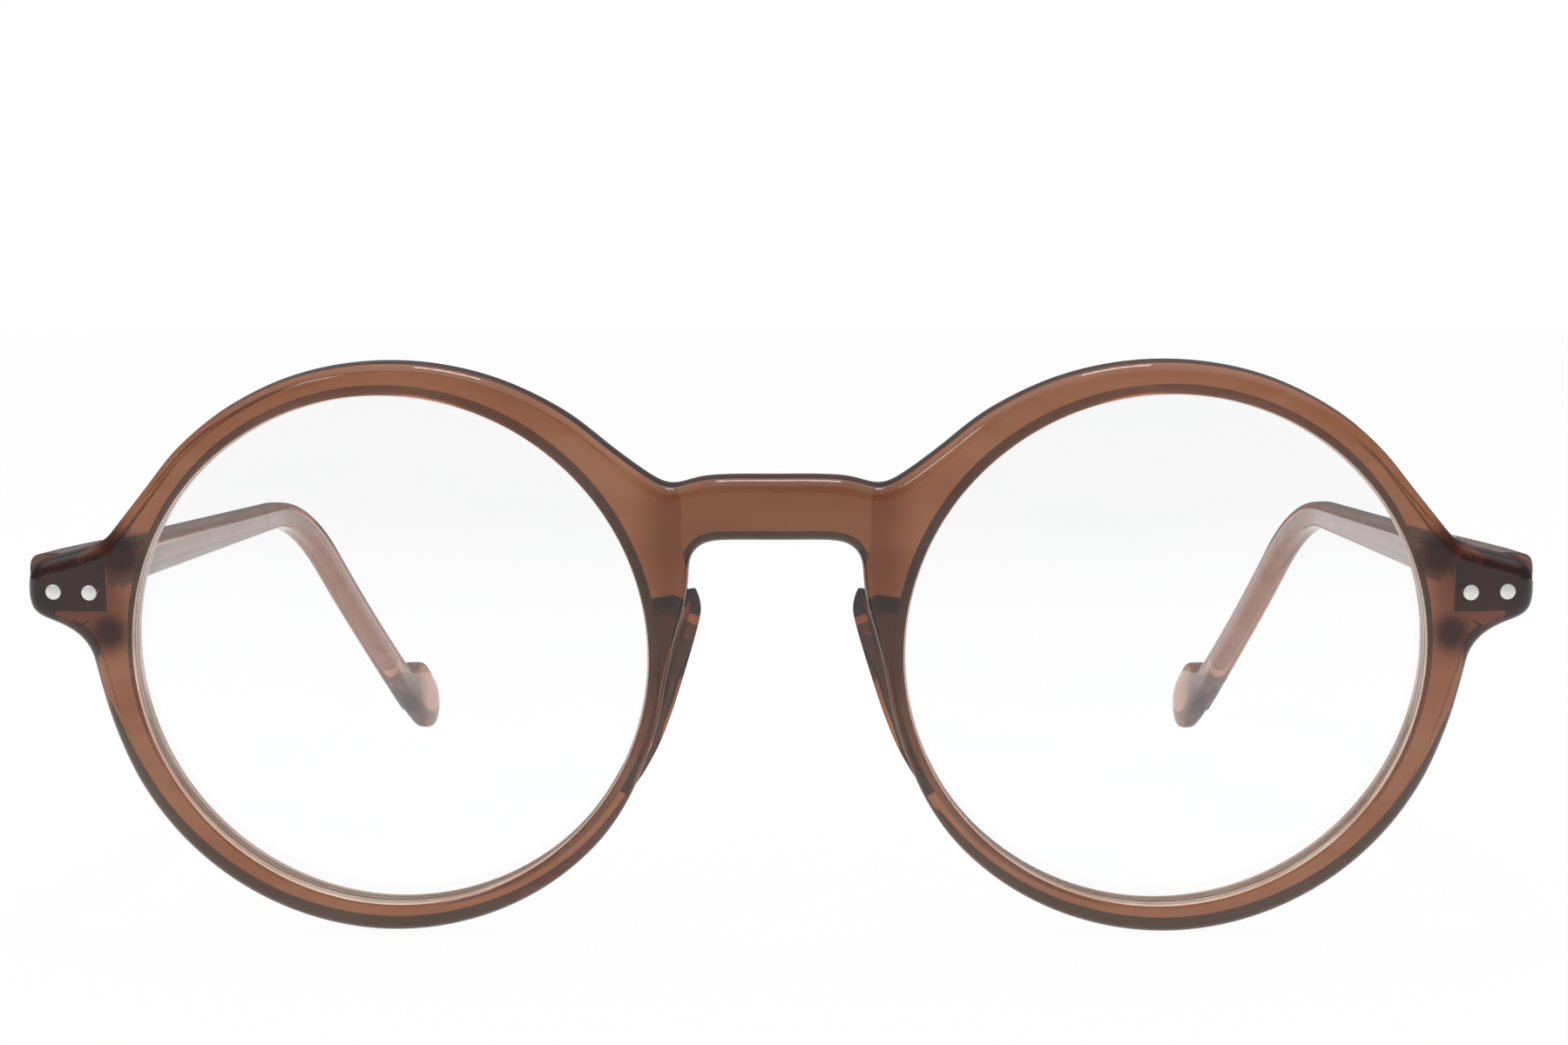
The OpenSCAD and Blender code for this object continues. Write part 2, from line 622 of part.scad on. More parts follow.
// The leaf in a temple, with the second and fourth knuckle
module temple_leaf() {
    difference() {
        union() {
            along_temple() temple_leaf_block(0, 0);
            for (i = [1, 3]) at_hinge() {
                knuckle(i);
                translate([0, -knuckle_r, knuckle_z(i)])
                    cube([temple_side + leaf_t / 2, 2 * knuckle_r, knuckle_h]);
            }
        }
        at_hinge() pin_bore();
        along_temple() temple_rivet_holes();
    }
}

module temple_hinge_left() {
    color(wire_color) temple_leaf();
}

module temple_hinge_right() {
    color(wire_color) right_side() temple_leaf();
}

module temple_rivet_pair() {
    along_temple() for (y = temple_rivets) translate([temple_side, y, 0])
        rotate([0, 90, 0]) rivet(temple_t);
}

module temple_rivets_left() {
    color([0.85, 0.86, 0.84]) temple_rivet_pair();
}

module temple_rivets_right() {
    color([0.85, 0.86, 0.84]) right_side() temple_rivet_pair();
}

module core_wire_left() {
    color(wire_color) along_temple() wire_tube(wire_r, 0);
}

module core_wire_right() {
    color(wire_color) right_side() along_temple() wire_tube(wire_r, 0);
}

module tip_inlay_left() {
    color([0.3, 0.32, 0.35]) along_temple() at_inlay() inlay_slab(0, 0);
}

module tip_inlay_right() {
    color([0.3, 0.32, 0.35]) right_side() along_temple() at_inlay() inlay_slab(0, 0);
}

front_frame();
lens_left();
lens_right();
nose_pad_left();
nose_pad_right();
front_hinge_left();
front_hinge_right();
front_rivets_left();
front_rivets_right();
hinge_screw_left();
hinge_screw_right();
temple_left();
temple_right();
temple_hinge_left();
temple_hinge_right();
temple_rivets_left();
temple_rivets_right();
core_wire_left();
core_wire_right();
tip_inlay_left();
tip_inlay_right();
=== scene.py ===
"""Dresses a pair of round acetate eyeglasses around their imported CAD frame.

Lengths inside the classes are millimetres in the front's own plane, where the
lens centres lie at height 0, and become metres when a mesh is placed.
"""

import logging
import math
from dataclasses import dataclass, field
from enum import Enum
from typing import Iterable, Sequence, Union

import bmesh
import bpy
import numpy as np
from mathutils import Matrix, Vector
from mathutils.geometry import delaunay_2d_cdt


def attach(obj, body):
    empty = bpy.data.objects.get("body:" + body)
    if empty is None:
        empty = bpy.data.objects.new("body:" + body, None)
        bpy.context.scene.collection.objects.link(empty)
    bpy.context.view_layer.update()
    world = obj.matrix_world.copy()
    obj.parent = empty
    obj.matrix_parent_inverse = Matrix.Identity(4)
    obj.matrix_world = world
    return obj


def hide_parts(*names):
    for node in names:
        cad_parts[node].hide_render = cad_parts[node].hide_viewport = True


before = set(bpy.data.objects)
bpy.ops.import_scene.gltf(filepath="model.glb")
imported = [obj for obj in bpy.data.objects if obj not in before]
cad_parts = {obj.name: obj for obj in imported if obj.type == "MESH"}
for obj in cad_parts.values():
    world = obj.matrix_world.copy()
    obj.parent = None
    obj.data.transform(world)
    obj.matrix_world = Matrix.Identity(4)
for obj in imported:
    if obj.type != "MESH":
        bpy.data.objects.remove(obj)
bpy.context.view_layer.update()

log = logging.getLogger("eyeglasses")

Flat = tuple[float, float]
Place = tuple[float, float, float]
Number = Union[float, "Signal"]


class Side(Enum):
    """The wearer's two sides, with the sign of X on each."""

    LEFT = 1
    RIGHT = -1

    @property
    def word(self) -> str:
        """The side's word in node and piece names."""
        return self.name.lower()

    @property
    def temple_body(self) -> str:
        """The CAD body that the temple on this side belongs to."""
        return f"{self.word}_temple"


# ---------------------------------------------------------------- shader maths


class Signal:
    """A number that varies over a surface, with which shader maths is written."""

    def __init__(self, sheet: "Sheet", socket: bpy.types.NodeSocket) -> None:
        """Wraps one output socket of a node on a sheet."""
        self.sheet = sheet
        self.socket = socket

    def _maths(self, operation: str, first: Number, second: Number) -> "Signal":
        """Adds one Math node.

        Args:
            operation: The Math node's operation.
            first: The upper value.
            second: The lower value.

        Returns:
            The node's result.
        """
        node = self.sheet.add("ShaderNodeMath", {"operation": operation}, {0: first, 1: second})
        return Signal(self.sheet, node.outputs[0])

    def __add__(self, other: Number) -> "Signal":
        """self + other."""
        return self._maths("ADD", self, other)

    def __radd__(self, other: Number) -> "Signal":
        """other + self."""
        return self._maths("ADD", other, self)

    def __sub__(self, other: Number) -> "Signal":
        """self - other."""
        return self._maths("SUBTRACT", self, other)

    def __rsub__(self, other: Number) -> "Signal":
        """other - self."""
        return self._maths("SUBTRACT", other, self)

    def __mul__(self, other: Number) -> "Signal":
        """self * other."""
        return self._maths("MULTIPLY", self, other)

    def __rmul__(self, other: Number) -> "Signal":
        """other * self."""
        return self._maths("MULTIPLY", other, self)

    def __pow__(self, other: Number) -> "Signal":
        """self to the power of other."""
        return self._maths("POWER", self, other)

    def at_most(self, other: Number) -> "Signal":
        """The smaller of self and other."""
        return self._maths("MINIMUM", self, other)

    def size(self) -> "Signal":
        """The value without its sign."""
        return self._maths("ABSOLUTE", self, 0.0)

    def ramp(self, low: float, high: float) -> "Signal":
        """0 where self is low or less, 1 where it is high or more, smooth between.

        Args:
            low: The value that becomes 0.
            high: The value that becomes 1.

        Returns:
            The share between them.
        """
        node = self.sheet.add(
            "ShaderNodeMapRange",
            {"interpolation_type": "SMOOTHSTEP"},
            {"Value": self, "From Min": low, "From Max": high},
        )
        return Signal(self.sheet, node.outputs["Result"])


class Sheet:
    """The node tree of one material or world, with one way of adding nodes."""

    def __init__(self, tree: bpy.types.NodeTree) -> None:
        """Starts on an empty tree."""
        self.tree = tree
        tree.nodes.clear()
        self._object_place: bpy.types.NodeSocket | None = None

    def add(self, kind: str, settings: dict | None = None, sockets: dict | None = None) -> bpy.types.Node:
        """Adds any node.

        Args:
            kind: The node's type.
            settings: Its settings, which are set before its sockets.
            sockets: The value or link of each input, by name or index.

        Returns:
            The new node.
        """
        node = self.tree.nodes.new(kind)
        for name, value in (settings or {}).items():
            setattr(node, name, value)
        for key, value in (sockets or {}).items():
            if isinstance(value, Signal):
                value = value.socket
            if isinstance(value, bpy.types.NodeSocket):
                self.tree.links.new(value, node.inputs[key])
            else:
                node.inputs[key].default_value = value
        return node

    @property
    def place(self) -> bpy.types.NodeSocket:
        """The point being shaded, in metres in the piece's own coordinates."""
        if self._object_place is None:
            self._object_place = self.add("ShaderNodeTexCoord").outputs["Object"]
        return self._object_place

    def stretched(self, factors: Place) -> bpy.types.NodeSocket:
        """The point being shaded, stretched along each axis.

        Args:
            factors: The factor along X, Y and Z.

        Returns:
            The stretched point.
        """
        node = self.add("ShaderNodeVectorMath", {"operation": "MULTIPLY"}, {0: self.place, 1: factors})
        return node.outputs[0]

    def noise(self, factors: Place, detail: float = 3.0, rough: float = 0.5) -> Signal:
        """Cloudy noise, with its own scale along each axis.

        Args:
            factors: Noise features per metre along X, Y and Z.
            detail: How many finer layers the noise has.
            rough: How strong the finer layers are.

        Returns:
            A value around 0.5.
        """
        node = self.add(
            "ShaderNodeTexNoise",
            {"noise_dimensions": "3D"},
            {"Vector": self.stretched(factors), "Scale": 1.0, "Detail": detail, "Roughness": rough},
        )
        return Signal(self, node.outputs["Fac"])

    def blend(self, share: Number, first: Sequence[float], second: Sequence[float]) -> bpy.types.NodeSocket:
        """A colour between two colours.

        Args:
            share: 0 for the first colour and 1 for the second.
            first: The first colour, as red, green and blue.
            second: The second colour.

        Returns:
            The mixed colour.
        """
        node = self.add(
            "ShaderNodeMix",
            {"data_type": "RGBA"},
            {0: share, 6: (*first, 1.0), 7: (*second, 1.0)},
        )
        return node.outputs[2]

    def tinted(
        self, colour: bpy.types.NodeSocket, share: Number, tint: Sequence[float]
    ) -> bpy.types.NodeSocket:
        """A colour seen through a tint, where the tint lies.

        Args:
            colour: The colour.
            share: 0 without the tint and 1 with all of it.
            tint: The tint, as red, green and blue.

        Returns:
            The tinted colour.
        """
        node = self.add(
            "ShaderNodeMix",
            {"data_type": "RGBA", "blend_type": "MULTIPLY"},
            {0: share, 6: colour, 7: (*tint, 1.0)},
        )
        return node.outputs[2]

    def parts(self, vector: bpy.types.NodeSocket) -> tuple["Signal", "Signal", "Signal"]:
        """The X, Y and Z of a vector."""
        split = self.add("ShaderNodeSeparateXYZ", {}, {0: vector})
        return tuple(Signal(self, socket) for socket in split.outputs)

    def bump(self, height: Signal, strength: float, depth_mm: float) -> bpy.types.NodeSocket:
        """A normal that follows small heights.

        Args:
            height: The height, from 0 to 1.
            strength: The bump's strength.
            depth_mm: How deep a height of 1 is.

        Returns:
            The normal.
        """
        node = self.add(
            "ShaderNodeBump",
            {},
            {"Strength": strength, "Distance": depth_mm / 1000, "Height": height},
        )
        return node.outputs["Normal"]

    def output(self, surface: bpy.types.NodeSocket, volume: bpy.types.NodeSocket | None = None) -> None:
        """Adds the material output."""
        sockets = {"Surface": surface}
        if volume is not None:
            sockets["Volume"] = volume
        self.add("ShaderNodeOutputMaterial", {}, sockets)


def new_material(name: str) -> tuple[bpy.types.Material, Sheet]:
    """Makes an empty node material.

    Args:
        name: The material's name.

    Returns:
        The material and its sheet.
    """
    material = bpy.data.materials.new(name)
    material.use_nodes = True
    return material, Sheet(material.node_tree)


# -------------------------------------------------------------------- finishes


@dataclass(frozen=True)
class Acetate:
    """Polished see-through brown acetate, tinted by its depth."""

    name: str = "polished_brown_acetate"
    tint: Place = (0.88, 0.76, 0.68)
    cloud_tint: Place = (0.72, 0.54, 0.44)
    absorption: Place = (0.215, 0.42, 0.60)
    clarity: float = 0.94
    roughness: float = 0.035
    index: float = 1.49

    def colour(self, sheet: Sheet) -> bpy.types.NodeSocket:
        """The sheet's colour: drawn-out clouds with fine flecks in them."""
        clouds = sheet.noise((55.0, 160.0, 210.0), 4.0, 0.55).ramp(0.36, 0.68)
        flecks = sheet.noise((700.0, 900.0, 1400.0), 2.0, 0.4).ramp(0.56, 0.74)
        return sheet.blend(clouds * 0.85 + flecks * 0.12, self.tint, self.cloud_tint)

    def make(self) -> bpy.types.Material:
        """Builds the material: the clouded sheet with polish haze and fine ripple."""
        material, sheet = new_material(self.name)
        colour = self.colour(sheet)
        haze = sheet.noise((260.0, 260.0, 260.0), 3.0, 0.6)
        scuffs = sheet.noise((1500.0, 300.0, 2600.0), 2.0, 0.5).ramp(0.6, 0.72)
        rough = self.roughness + haze * 0.03 + scuffs * 0.02
        ripple = sheet.noise((420.0, 420.0, 420.0), 2.0, 0.45)
        surface = sheet.add(
            "ShaderNodeBsdfPrincipled",
            {},
            {
                "Base Color": colour,
                "Roughness": rough,
                "IOR": self.index,
                "Transmission Weight": self.clarity,
                "Normal": sheet.bump(ripple + scuffs * 0.1, 0.12, 0.01),
            },
        )
        density = max(self.absorption) * 1000 / 0.9
        volume = sheet.add(
            "ShaderNodeVolumeAbsorption",
            {},
            {"Color": (*(1 - a * 1000 / density for a in self.absorption), 1.0), "Density": density},
        )
        sheet.output(surface.outputs[0], volume.outputs[0])
        return material


@dataclass(frozen=True)
class FrontAcetate(Acetate):
    """The front's acetate, darker in the middle of the bridge, with painted shade along its outer walls, over
    its endpieces and in dark patches at their ends.
    """

    name: str = "polished_front_acetate"
    tint: Place = (0.76, 0.66, 0.58)
    cloud_tint: Place = (0.60, 0.43, 0.33)
    # painted shade along the outer walls, for the dark that the rounded edges show
    wall_shade_tint: Place = (0.46, 0.34, 0.40)
    bridge_tint: Place = (0.60, 0.50, 0.42)
    # painted shade over the endpieces, where the hinge pockets darken the light through them
    end_shade_tint: Place = (0.50, 0.37, 0.38)
    # painted shade in dark patches at the endpieces
    patch_shade_tint: Place = (0.22, 0.16, 0.18)
    lens_x: float = 35.25
    open_r: float = 23.75
    lift: float = 26.1694
    upright: float = 1.0075
    bridge_fade: Flat = (9.5, 14.0)
    end_fade: Flat = (58.0, 61.5)
    end_rise: Flat = (-2.0, 1.0)
    wall_start: Flat = (0.5, 1.1)
    wall_turn: Flat = (0.15, 0.65)
    # each dark patch of painted shade, as distance out, height and reach in millimetres
    shade_patches: tuple[Place, ...] = ((60.0, 9.2, 3.0), (61.4, 1.9, 2.3))

    def colour(self, sheet: Sheet) -> bpy.types.NodeSocket:
        """The clouded colour, darker in the middle of the bridge, with painted shade over the endpieces, in
        dark patches at their ends and along the outer walls.
        """
        x, _, z = sheet.parts(sheet.place)
        _, facing, _ = sheet.parts(sheet.add("ShaderNodeTexCoord").outputs["Normal"])
        x, z = x.size() * 1000, (z * 1000 - self.lift) * self.upright
        from_lens = ((x - self.lens_x).size() ** 2 + z.size() ** 2) ** 0.5
        # painted shade on the outer walls: steep faces away from the lens openings are darkened
        rim = from_lens.ramp(*(self.open_r + more for more in self.wall_start))
        wall = (1 - facing.size().ramp(*self.wall_turn)) * rim
        colour = super().colour(sheet)
        colour = sheet.tinted(colour, 1 - x.ramp(*self.bridge_fade), self.bridge_tint)
        # painted shade over the endpieces
        colour = sheet.tinted(colour, x.ramp(*self.end_fade) * z.ramp(*self.end_rise), self.end_shade_tint)
        # dark patches of painted shade at the endpieces
        for at_x, at_z, reach in self.shade_patches:
            away = ((x - at_x).size() ** 2 + (z - at_z).size() ** 2) ** 0.5
            colour = sheet.tinted(colour, 1 - away.ramp(reach * 0.3, reach), self.patch_shade_tint)
        return sheet.tinted(colour, wall, self.wall_shade_tint)


@dataclass(frozen=True)
class OpeningWall:
    """The polished wall of a lens opening, painted pale for the light that glows in the rim."""

    name: str = "polished_opening_wall"
    pale: Place = (0.86, 0.66, 0.54)
    deep: Place = (0.70, 0.47, 0.36)
    clarity: float = 0.3
    roughness: float = 0.12

    def make(self) -> bpy.types.Material:
        """Builds the material: the painted glow in pale clouds, with the fine lines of the cutter."""
        material, sheet = new_material(self.name)
        clouds = sheet.noise((160.0, 160.0, 160.0), 3.0, 0.5).ramp(0.36, 0.66)
        lines = sheet.noise((300.0, 3200.0, 300.0), 2.0, 0.5)
        surface = sheet.add(
            "ShaderNodeBsdfPrincipled",
            {},
            {
                # pale base colour: a painted glow of the light in the rim
                "Base Color": sheet.blend(clouds, self.pale, self.deep),
                "Roughness": self.roughness + lines * 0.08,
                "IOR": 1.49,
                "Transmission Weight": self.clarity,
                "Normal": sheet.bump(lines, 0.12, 0.01),
            },
        )
        sheet.output(surface.outputs[0])
        return material


@dataclass(frozen=True)
class TempleAcetate(Acetate):
    """The temples' acetate, cut from a paler part of the sheet."""

    name: str = "polished_temple_acetate"
    tint: Place = (0.97, 0.87, 0.84)
    cloud_tint: Place = (0.86, 0.72, 0.66)
    absorption: Place = (0.12, 0.23, 0.28)
    clarity: float = 0.84
    roughness: float = 0.06
    drop_tint: Place = (0.84, 0.66, 0.56)
    drop_fade: Flat = (0.01, 0.035)
    # darker in a halo round the tip inlay, reaching well past its edge
    inlay_halo_tint: Place = (0.16, 0.19, 0.25)
    inlay_reach: float = 5.5
    inlay_at: Place = (0.0, 0.0, 0.0)

    def colour(self, sheet: Sheet) -> bpy.types.NodeSocket:
        """The clouded colour, deeper behind the ear and darker in a halo round the inlay."""
        x, y, z = sheet.parts(sheet.place)
        parts = [part - at for part, at in zip((x.size(), y, z), self.inlay_at)]
        away = sum(((part * 1000).size() ** 2 for part in parts), start=0.0) ** 0.5
        near = 1 - away.ramp(self.inlay_reach * 0.4, self.inlay_reach)
        colour = sheet.tinted(super().colour(sheet), y.ramp(*self.drop_fade), self.drop_tint)
        return sheet.tinted(colour, near, self.inlay_halo_tint)


@dataclass(frozen=True)
class LensPlastic:
    """Clear polished lens plastic."""

    name: str = "clear_lens_plastic"
    tint: Place = (0.999, 1.0, 1.0)
    haze_tint: Place = (0.992, 0.996, 0.997)
    roughness: float = 0.004
    index: float = 1.5
    reflection: float = 0.12

    def make(self) -> bpy.types.Material:
        """Builds the material: nearly colourless, with a trace of wiping haze."""
        material, sheet = new_material(self.name)
        wiped = sheet.noise((60.0, 60.0, 240.0), 3.0, 0.5).ramp(0.45, 0.7)
        surface = sheet.add(
            "ShaderNodeBsdfPrincipled",
            {},
            {
                "Base Color": sheet.blend(wiped, self.tint, self.haze_tint),
                "Roughness": self.roughness + wiped * 0.006,
                "IOR": self.index,
                "Specular IOR Level": self.reflection,
                "Transmission Weight": 1.0,
            },
        )
        sheet.output(surface.outputs[0])
        return material


@dataclass(frozen=True)
class GroundEdge:
    """A lens's ground bevel, with the colour of the rim round it painted on as a painted reflection."""

    name: str = "ground_lens_edge"
    pale: Place = (0.86, 0.70, 0.60)
    deep: Place = (0.74, 0.56, 0.46)
    roughness: float = 0.5

    def make(self) -> bpy.types.Material:
        """Builds the material: matt, with the fine marks of the grinding wheel and the rim's colour as a
        painted reflection.
        """
        material, sheet = new_material(self.name)
        marks = sheet.noise((2400.0, 600.0, 2400.0), 3.0, 0.6)
        patches = sheet.noise((240.0, 240.0, 240.0), 3.0, 0.5).ramp(0.35, 0.7)
        surface = sheet.add(
            "ShaderNodeBsdfPrincipled",
            {},
            {
                # pale and deep: the rim's brown, painted on as a painted reflection
                "Base Color": sheet.blend(patches, self.pale, self.deep),
                "Roughness": self.roughness + marks * 0.15,
                "IOR": 1.5,
                "Transmission Weight": 0.5,
                "Normal": sheet.bump(marks, 0.25, 0.01),
            },
        )
        sheet.output(surface.outputs[0])
        return material


class Grain(Enum):
    """How a metal surface was worked."""

    TURNED = (500.0, 2600.0, 500.0)
    TUMBLED = (1500.0, 1500.0, 1500.0)
    DRAWN = (3000.0, 120.0, 3000.0)
    MILLED = (2200.0, 300.0, 600.0)


@dataclass(frozen=True)
class Metal:
    """Bare or plated metal with the marks of how it was worked."""

    name: str
    bright: Place
    dull: Place
    roughness: float
    grain: Grain
    marks: float = 0.25
    metallic: float = 1.0

    def make(self) -> bpy.types.Material:
        """Builds the material: worked grain, dull patches and a rougher bottom to each mark."""
        material, sheet = new_material(self.name)
        grain = sheet.noise(self.grain.value, 3.0, 0.6)
        patches = sheet.noise((350.0, 350.0, 350.0), 3.0, 0.55).ramp(0.4, 0.7)
        rough = self.roughness + patches * 0.09 + (1 - grain) * 0.06
        surface = sheet.add(
            "ShaderNodeBsdfPrincipled",
            {},
            {
                "Base Color": sheet.blend(patches * 0.6 + (1 - grain) * 0.3, self.bright, self.dull),
                "Metallic": self.metallic,
                "Roughness": rough,
                "Normal": sheet.bump(grain, self.marks, 0.01),
            },
        )
        sheet.output(surface.outputs[0])
        return material


@dataclass(frozen=True)
class SlateInlay:
    """Smooth dark slate-coloured metal, as set in the temple tips."""

    name: str = "dark_slate_inlay"
    colour: Place = (0.020, 0.025, 0.034)
    worn: Place = (0.055, 0.065, 0.082)
    roughness: float = 0.3

    def make(self) -> bpy.types.Material:
        """Builds the material: a dark coat with a paler cloud and fine grit."""
        material, sheet = new_material(self.name)
        cloud = sheet.noise((260.0, 260.0, 260.0), 3.0, 0.6).ramp(0.42, 0.72)
        grit = sheet.noise((2600.0, 2600.0, 2600.0), 2.0, 0.5)
        surface = sheet.add(
            "ShaderNodeBsdfPrincipled",
            {},
            {
                "Base Color": sheet.blend(cloud, self.colour, self.worn),
                "Metallic": 0.4,
                "Roughness": self.roughness + grit * 0.14,
                "Normal": sheet.bump(grit, 0.2, 0.01),
            },
        )
        sheet.output(surface.outputs[0])
        return material


@dataclass
class Finishes:
    """Every finish, made once."""

    acetate: bpy.types.Material = field(default_factory=lambda: Acetate().make())
    front: bpy.types.Material = field(default_factory=lambda: FrontAcetate().make())
    opening: bpy.types.Material = field(default_factory=lambda: OpeningWall().make())
    lens: bpy.types.Material = field(default_factory=lambda: LensPlastic().make())
    lens_edge: bpy.types.Material = field(default_factory=lambda: GroundEdge().make())
    rivet: bpy.types.Material = field(
        default_factory=lambda: Metal(
            "polished_rivet_metal", (0.88, 0.885, 0.86), (0.74, 0.74, 0.71), 0.30, Grain.TURNED, 0.2, 0.45
        ).make()
    )
    hinge: bpy.types.Material = field(
        default_factory=lambda: Metal(
            "tumbled_hinge_metal", (0.66, 0.66, 0.66), (0.46, 0.46, 0.47), 0.26, Grain.MILLED, 0.35
        ).make()
    )
    screw: bpy.types.Material = field(
        default_factory=lambda: Metal(
            "turned_screw_metal", (0.62, 0.62, 0.63), (0.42, 0.42, 0.44), 0.24, Grain.TUMBLED, 0.3
        ).make()
    )
    wire: bpy.types.Material = field(
        default_factory=lambda: Metal(
            "drawn_core_wire", (0.78, 0.58, 0.47), (0.62, 0.45, 0.36), 0.4, Grain.DRAWN, 0.3, 0.6
        ).make()
    )
    inlay: bpy.types.Material = field(default_factory=lambda: SlateInlay().make())


# ---------------------------------------------------------------- curves in 2D


def smooth_curve(points: Sequence[Flat], steps: int) -> list[Flat]:
    """Draws a smooth curve through points, whose first and last only guide it.

    Args:
        points: The points, as pairs.
        steps: How many curve points each stretch gets.

    Returns:
        The curve's points, without its last one.
    """
    curve = []
    for a, b, c, d in zip(points, points[1:], points[2:], points[3:]):
        for j in range(steps):
            t = j / steps
            curve.append(
                tuple(
                    0.5
                    * (
                        2 * b[k]
                        + (c[k] - a[k]) * t
                        + (2 * a[k] - 5 * b[k] + 4 * c[k] - d[k]) * t * t
                        + (3 * b[k] - a[k] - 3 * c[k] + d[k]) * t**3
                    )
                    for k in (0, 1)
                )
            )
    return curve


def evened_loop(loop: Sequence[Flat], spacing: float, relax: int) -> np.ndarray:
    """Spaces a closed loop's points evenly and relaxes its curvature a little.

    Args:
        loop: The loop's points, not repeated at its end.
        spacing: The wanted distance between points.
        relax: How many rounds of smoothing it gets.

    Returns:
        The new points, one row each.
    """
    p = np.array(loop, float)
    closed = np.vstack([p, p[:1]])
    run = np.r_[0, np.cumsum(np.linalg.norm(np.diff(closed, axis=0), axis=1))]
    count = int(round(run[-1] / spacing))
    at = np.arange(count) * run[-1] / count
    q = np.c_[np.interp(at, run, closed[:, 0]), np.interp(at, run, closed[:, 1])]
    for _ in range(relax):
        q = 0.5 * q + 0.25 * (np.roll(q, 1, 0) + np.roll(q, -1, 0))
    return q


def outward(loop: np.ndarray) -> np.ndarray:
    """The unit normals of a clockwise loop, which point out of it."""
    along = np.roll(loop, -1, 0) - np.roll(loop, 1, 0)
    normal = np.c_[-along[:, 1], along[:, 0]]
    return normal / np.linalg.norm(normal, axis=1)[:, None]


def inside(points: np.ndarray, loop: np.ndarray) -> np.ndarray:
    """Which points lie inside a closed loop.

    Args:
        points: The points to test, one row each.
        loop: The loop's points.

    Returns:
        True for each point inside.
    """
    x, z = points[:, :1], points[:, 1:]
    x0, z0 = loop[:, 0][None], loop[:, 1][None]
    x1, z1 = np.roll(loop[:, 0], -1)[None], np.roll(loop[:, 1], -1)[None]
    spans = (z0 > z) != (z1 > z)
    with np.errstate(divide="ignore", invalid="ignore"):
        crossing = x < (x1 - x0) * (z - z0) / (z1 - z0) + x0
    return (spans & crossing).sum(1) % 2 == 1


def filled_between(
    edge: np.ndarray, holes: Sequence[np.ndarray], spacing: float
) -> tuple[np.ndarray, np.ndarray]:
    """Fills the face between an outer loop and its holes with even triangles.

    Args:
        edge: The outer loop's points.
        holes: The points of each hole's loop.
        spacing: The wanted distance between the new inner points.

    Returns:
        The new inner points, and the triangles as indices into the outer loop, the
        holes and the new points, one after another.
    """
    low, high = edge.min(0), edge.max(0)
    rows = np.arange(low[1], high[1], spacing * 0.866)
    columns = np.arange(low[0], high[0], spacing)
    grid = np.array([(x + (i % 2) * spacing / 2, z) for i, z in enumerate(rows) for x in columns])
    keep = inside(grid, edge)
    for hole in holes:
        keep &= ~inside(grid, hole)
    grid = grid[keep]
    for loop in (edge, *holes):
        gap = np.sqrt(((grid[:, None] - loop[None]) ** 2).sum(2)).min(1)
        grid = grid[gap > spacing * 0.6]
    loops = [edge, *holes]
    points = np.vstack([*loops, grid])
    edges, start = [], 0
    for loop in loops:
        n = len(loop)
        edges += [(start + i, start + (i + 1) % n) for i in range(n)]
        start += n
    verts, _, faces, origin, _, _ = delaunay_2d_cdt([Vector(p) for p in points], edges, [], 0, 1e-7)
    back = [o[0] if o else -1 for o in origin]
    tri = np.array([[back[i] for i in f] for f in faces if len(f) == 3])
    tri = tri[(tri >= 0).all(1)]
    middle = points[tri].mean(1)
    wanted = inside(middle, edge)
    for hole in holes:
        wanted &= ~inside(middle, hole)
    return grid, tri[wanted]


# ---------------------------------------------------------------------- meshes


